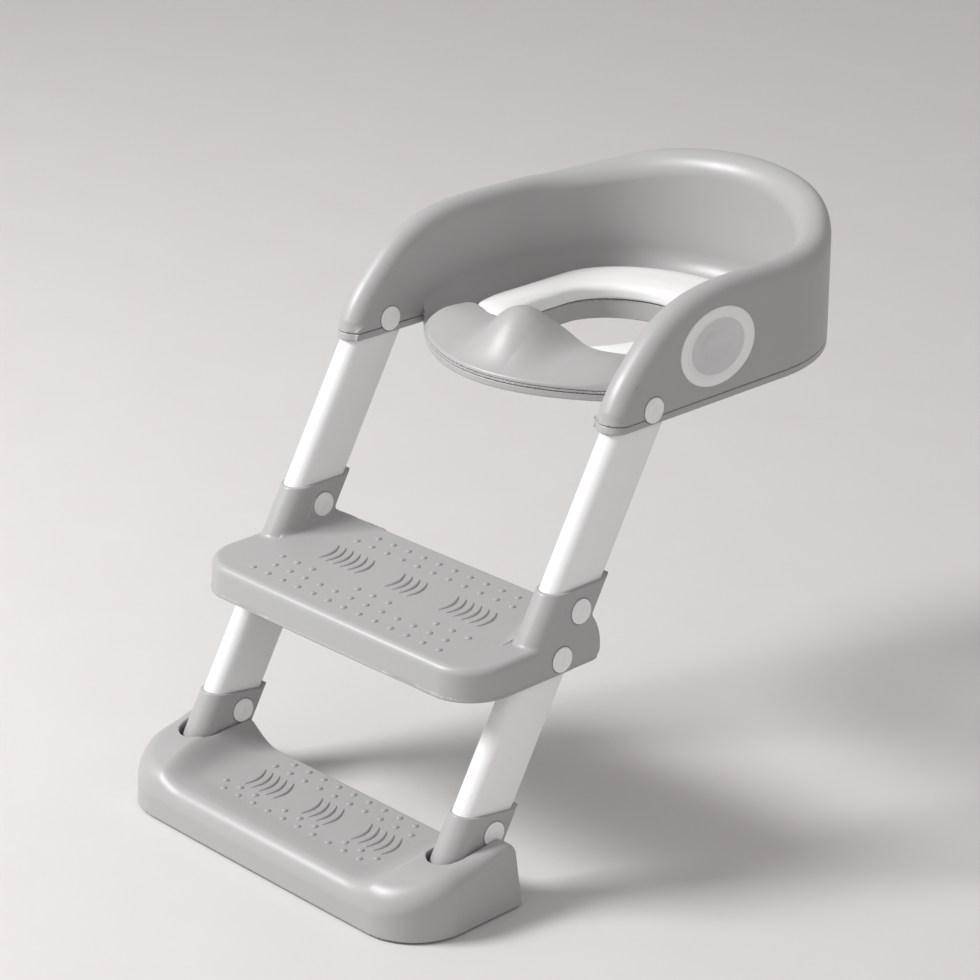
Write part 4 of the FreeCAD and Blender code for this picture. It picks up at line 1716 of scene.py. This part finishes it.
# --- small hardware that keeps its CAD shape --------------------------------------------------------
@dataclass(frozen=True)
class Hardware:
    """CAD nodes whose shape is right as it is, and the finish of each."""

    finishes: tuple[tuple[str, Finish], ...] = (
        ("pad_pegs", GREY_SATIN),
        ("seat_screws", STEEL),
        ("seat_grip_pads", RUBBER),
        ("hinge_washers", DARK_NYLON_AND_GAP_SHADE),
        ("ladder_bolts", STEEL),
        ("foot_pivot_pins", STEEL),
        ("foot_pads", RUBBER),
    )
    paired: tuple[tuple[str, Finish], ...] = (
        ("hinge_bolt", STEEL),
        ("hinge_bush", DARK_NYLON_AND_GAP_SHADE),
        ("upper_knuckle", GREY_SATIN),
    )

    def build(self, nodes: dict[str, bpy.types.Object]) -> None:
        """Dresses the nodes.

        Args:
            nodes: The CAD nodes by name.
        """
        rows = list(self.finishes)
        rows += [(f"{name}_{side}", dress) for name, dress in self.paired for side in SIDES]
        for name, dress in rows:
            materials = nodes[name].data.materials
            materials.clear()
            materials.append(dress.material())
            LOG.info("%s: dressed as %s", name, dress.name)


# --- studio -----------------------------------------------------------------------------------------
@dataclass(frozen=True)
class Studio:
    """Pale floor, soft lights and the camera."""

    camera_place: tuple[float, float, float] = (1.861, -1.829, 1.333)
    camera_turn: tuple[float, float, float] = (67.81, 0.0, 46.02)
    lens: float = 115.68
    film: float = 36.0
    floor_half: float = 6.0
    bend: float = 1.5
    wall_top: float = 5.0
    key_place: tuple[float, float, float] = (-1.9, -2.3, 2.9)
    key_watts: float = 166.0
    key_size: float = 1.3
    fill_place: tuple[float, float, float] = (2.6, -1.2, 1.6)
    fill_watts: float = 7.0
    fill_size: float = 2.5
    aim: tuple[float, float, float] = (0.0, 0.0, 0.25)
    air: tuple[float, float, float, float] = (1.0, 0.985, 0.98, 1.0)
    sky: float = 0.48

    def floor(self) -> None:
        """A floor that curves up far behind, in a pale matt paint."""
        half, bend = self.floor_half, self.bend
        profile = [(-half, 0.0), (half * 0.5, 0.0)]
        for angle in np.linspace(0.1, 0.5 * math.pi, 12):
            profile.append((half * 0.5 + bend * math.sin(angle), bend - bend * math.cos(angle)))
        profile.append((half * 0.5 + bend, self.wall_top))
        turn = math.radians(self.camera_turn[2])
        cos, sin = math.cos(turn), math.sin(turn)
        points = []
        for across in (-half, half):
            for away, up in profile:
                points.append((across * cos - away * sin, across * sin + away * cos, up))
        count = len(profile)
        faces = [[at, count + at, count + at + 1, at + 1] for at in range(count - 1)]
        mesh = bpy.data.meshes.new("studio_floor")
        mesh.from_pydata(points, [], faces)
        mesh.shade_smooth()
        floor = bpy.data.objects.new("studio_floor", mesh)
        bpy.context.scene.collection.objects.link(floor)
        mesh.materials.append(FLOOR_PAINT.material())

    def light(self, name: str, place: tuple[float, float, float], watts: float, size: float) -> None:
        """One square soft light that looks at the chair.

        Args:
            name: The light's name.
            place: Where it hangs.
            watts: Its strength.
            size: Its side in metres.
        """
        lamp = bpy.data.lights.new(name, "AREA")
        lamp.energy, lamp.size = watts, size
        holder = bpy.data.objects.new(name, lamp)
        holder.location = place
        holder.rotation_euler = (Vector(self.aim) - Vector(place)).to_track_quat("-Z", "Y").to_euler()
        bpy.context.scene.collection.objects.link(holder)

    def build(self) -> None:
        """Sets the stage."""
        self.floor()
        self.light("key", self.key_place, self.key_watts, self.key_size)
        self.light("fill", self.fill_place, self.fill_watts, self.fill_size)
        world = bpy.data.worlds.new("studio_air")
        world.use_nodes = True
        sky = world.node_tree.nodes["Background"].inputs
        sky["Color"].default_value = self.air
        sky["Strength"].default_value = self.sky
        bpy.context.scene.world = world
        data = bpy.data.cameras.new("camera")
        data.lens, data.sensor_width = self.lens, self.film
        camera = bpy.data.objects.new("camera", data)
        camera.location = self.camera_place
        camera.rotation_euler = [math.radians(angle) for angle in self.camera_turn]
        bpy.context.scene.collection.objects.link(camera)
        bpy.context.scene.camera = camera
        bpy.context.scene.view_settings.view_transform = "Standard"


def main() -> None:
    """Builds the chair on the frame, sub-assembly by sub-assembly."""
    logging.basicConfig(level=logging.INFO, format="%(name)s %(message)s")
    hinge = next(joint for joint in frame["joints"] if joint["name"] == "ladder_fold")
    shop = Workshop(hinge_y=1000.0 * hinge["pos_m"][1])
    pitch = FULL_PITCH
    leg = LegLine()
    shell = SeatShell(leg)
    guard = SplashGuard(shell)
    shell.build(shop, pitch)
    guard.build(shop, pitch)
    SeatPad(shell, guard).build(shop, pitch)
    ArmBadges().build(shop)
    LegTubes(leg).build(shop)
    MiddleStep(leg).build(shop, pitch)
    FootSleeves(leg).build(shop, pitch)
    FootStep(leg).build(shop, pitch)
    PinCaps(leg).build(shop)
    Hardware().build(frame["nodes"])
    Studio().build()


if __name__ == "__main__":
    main()
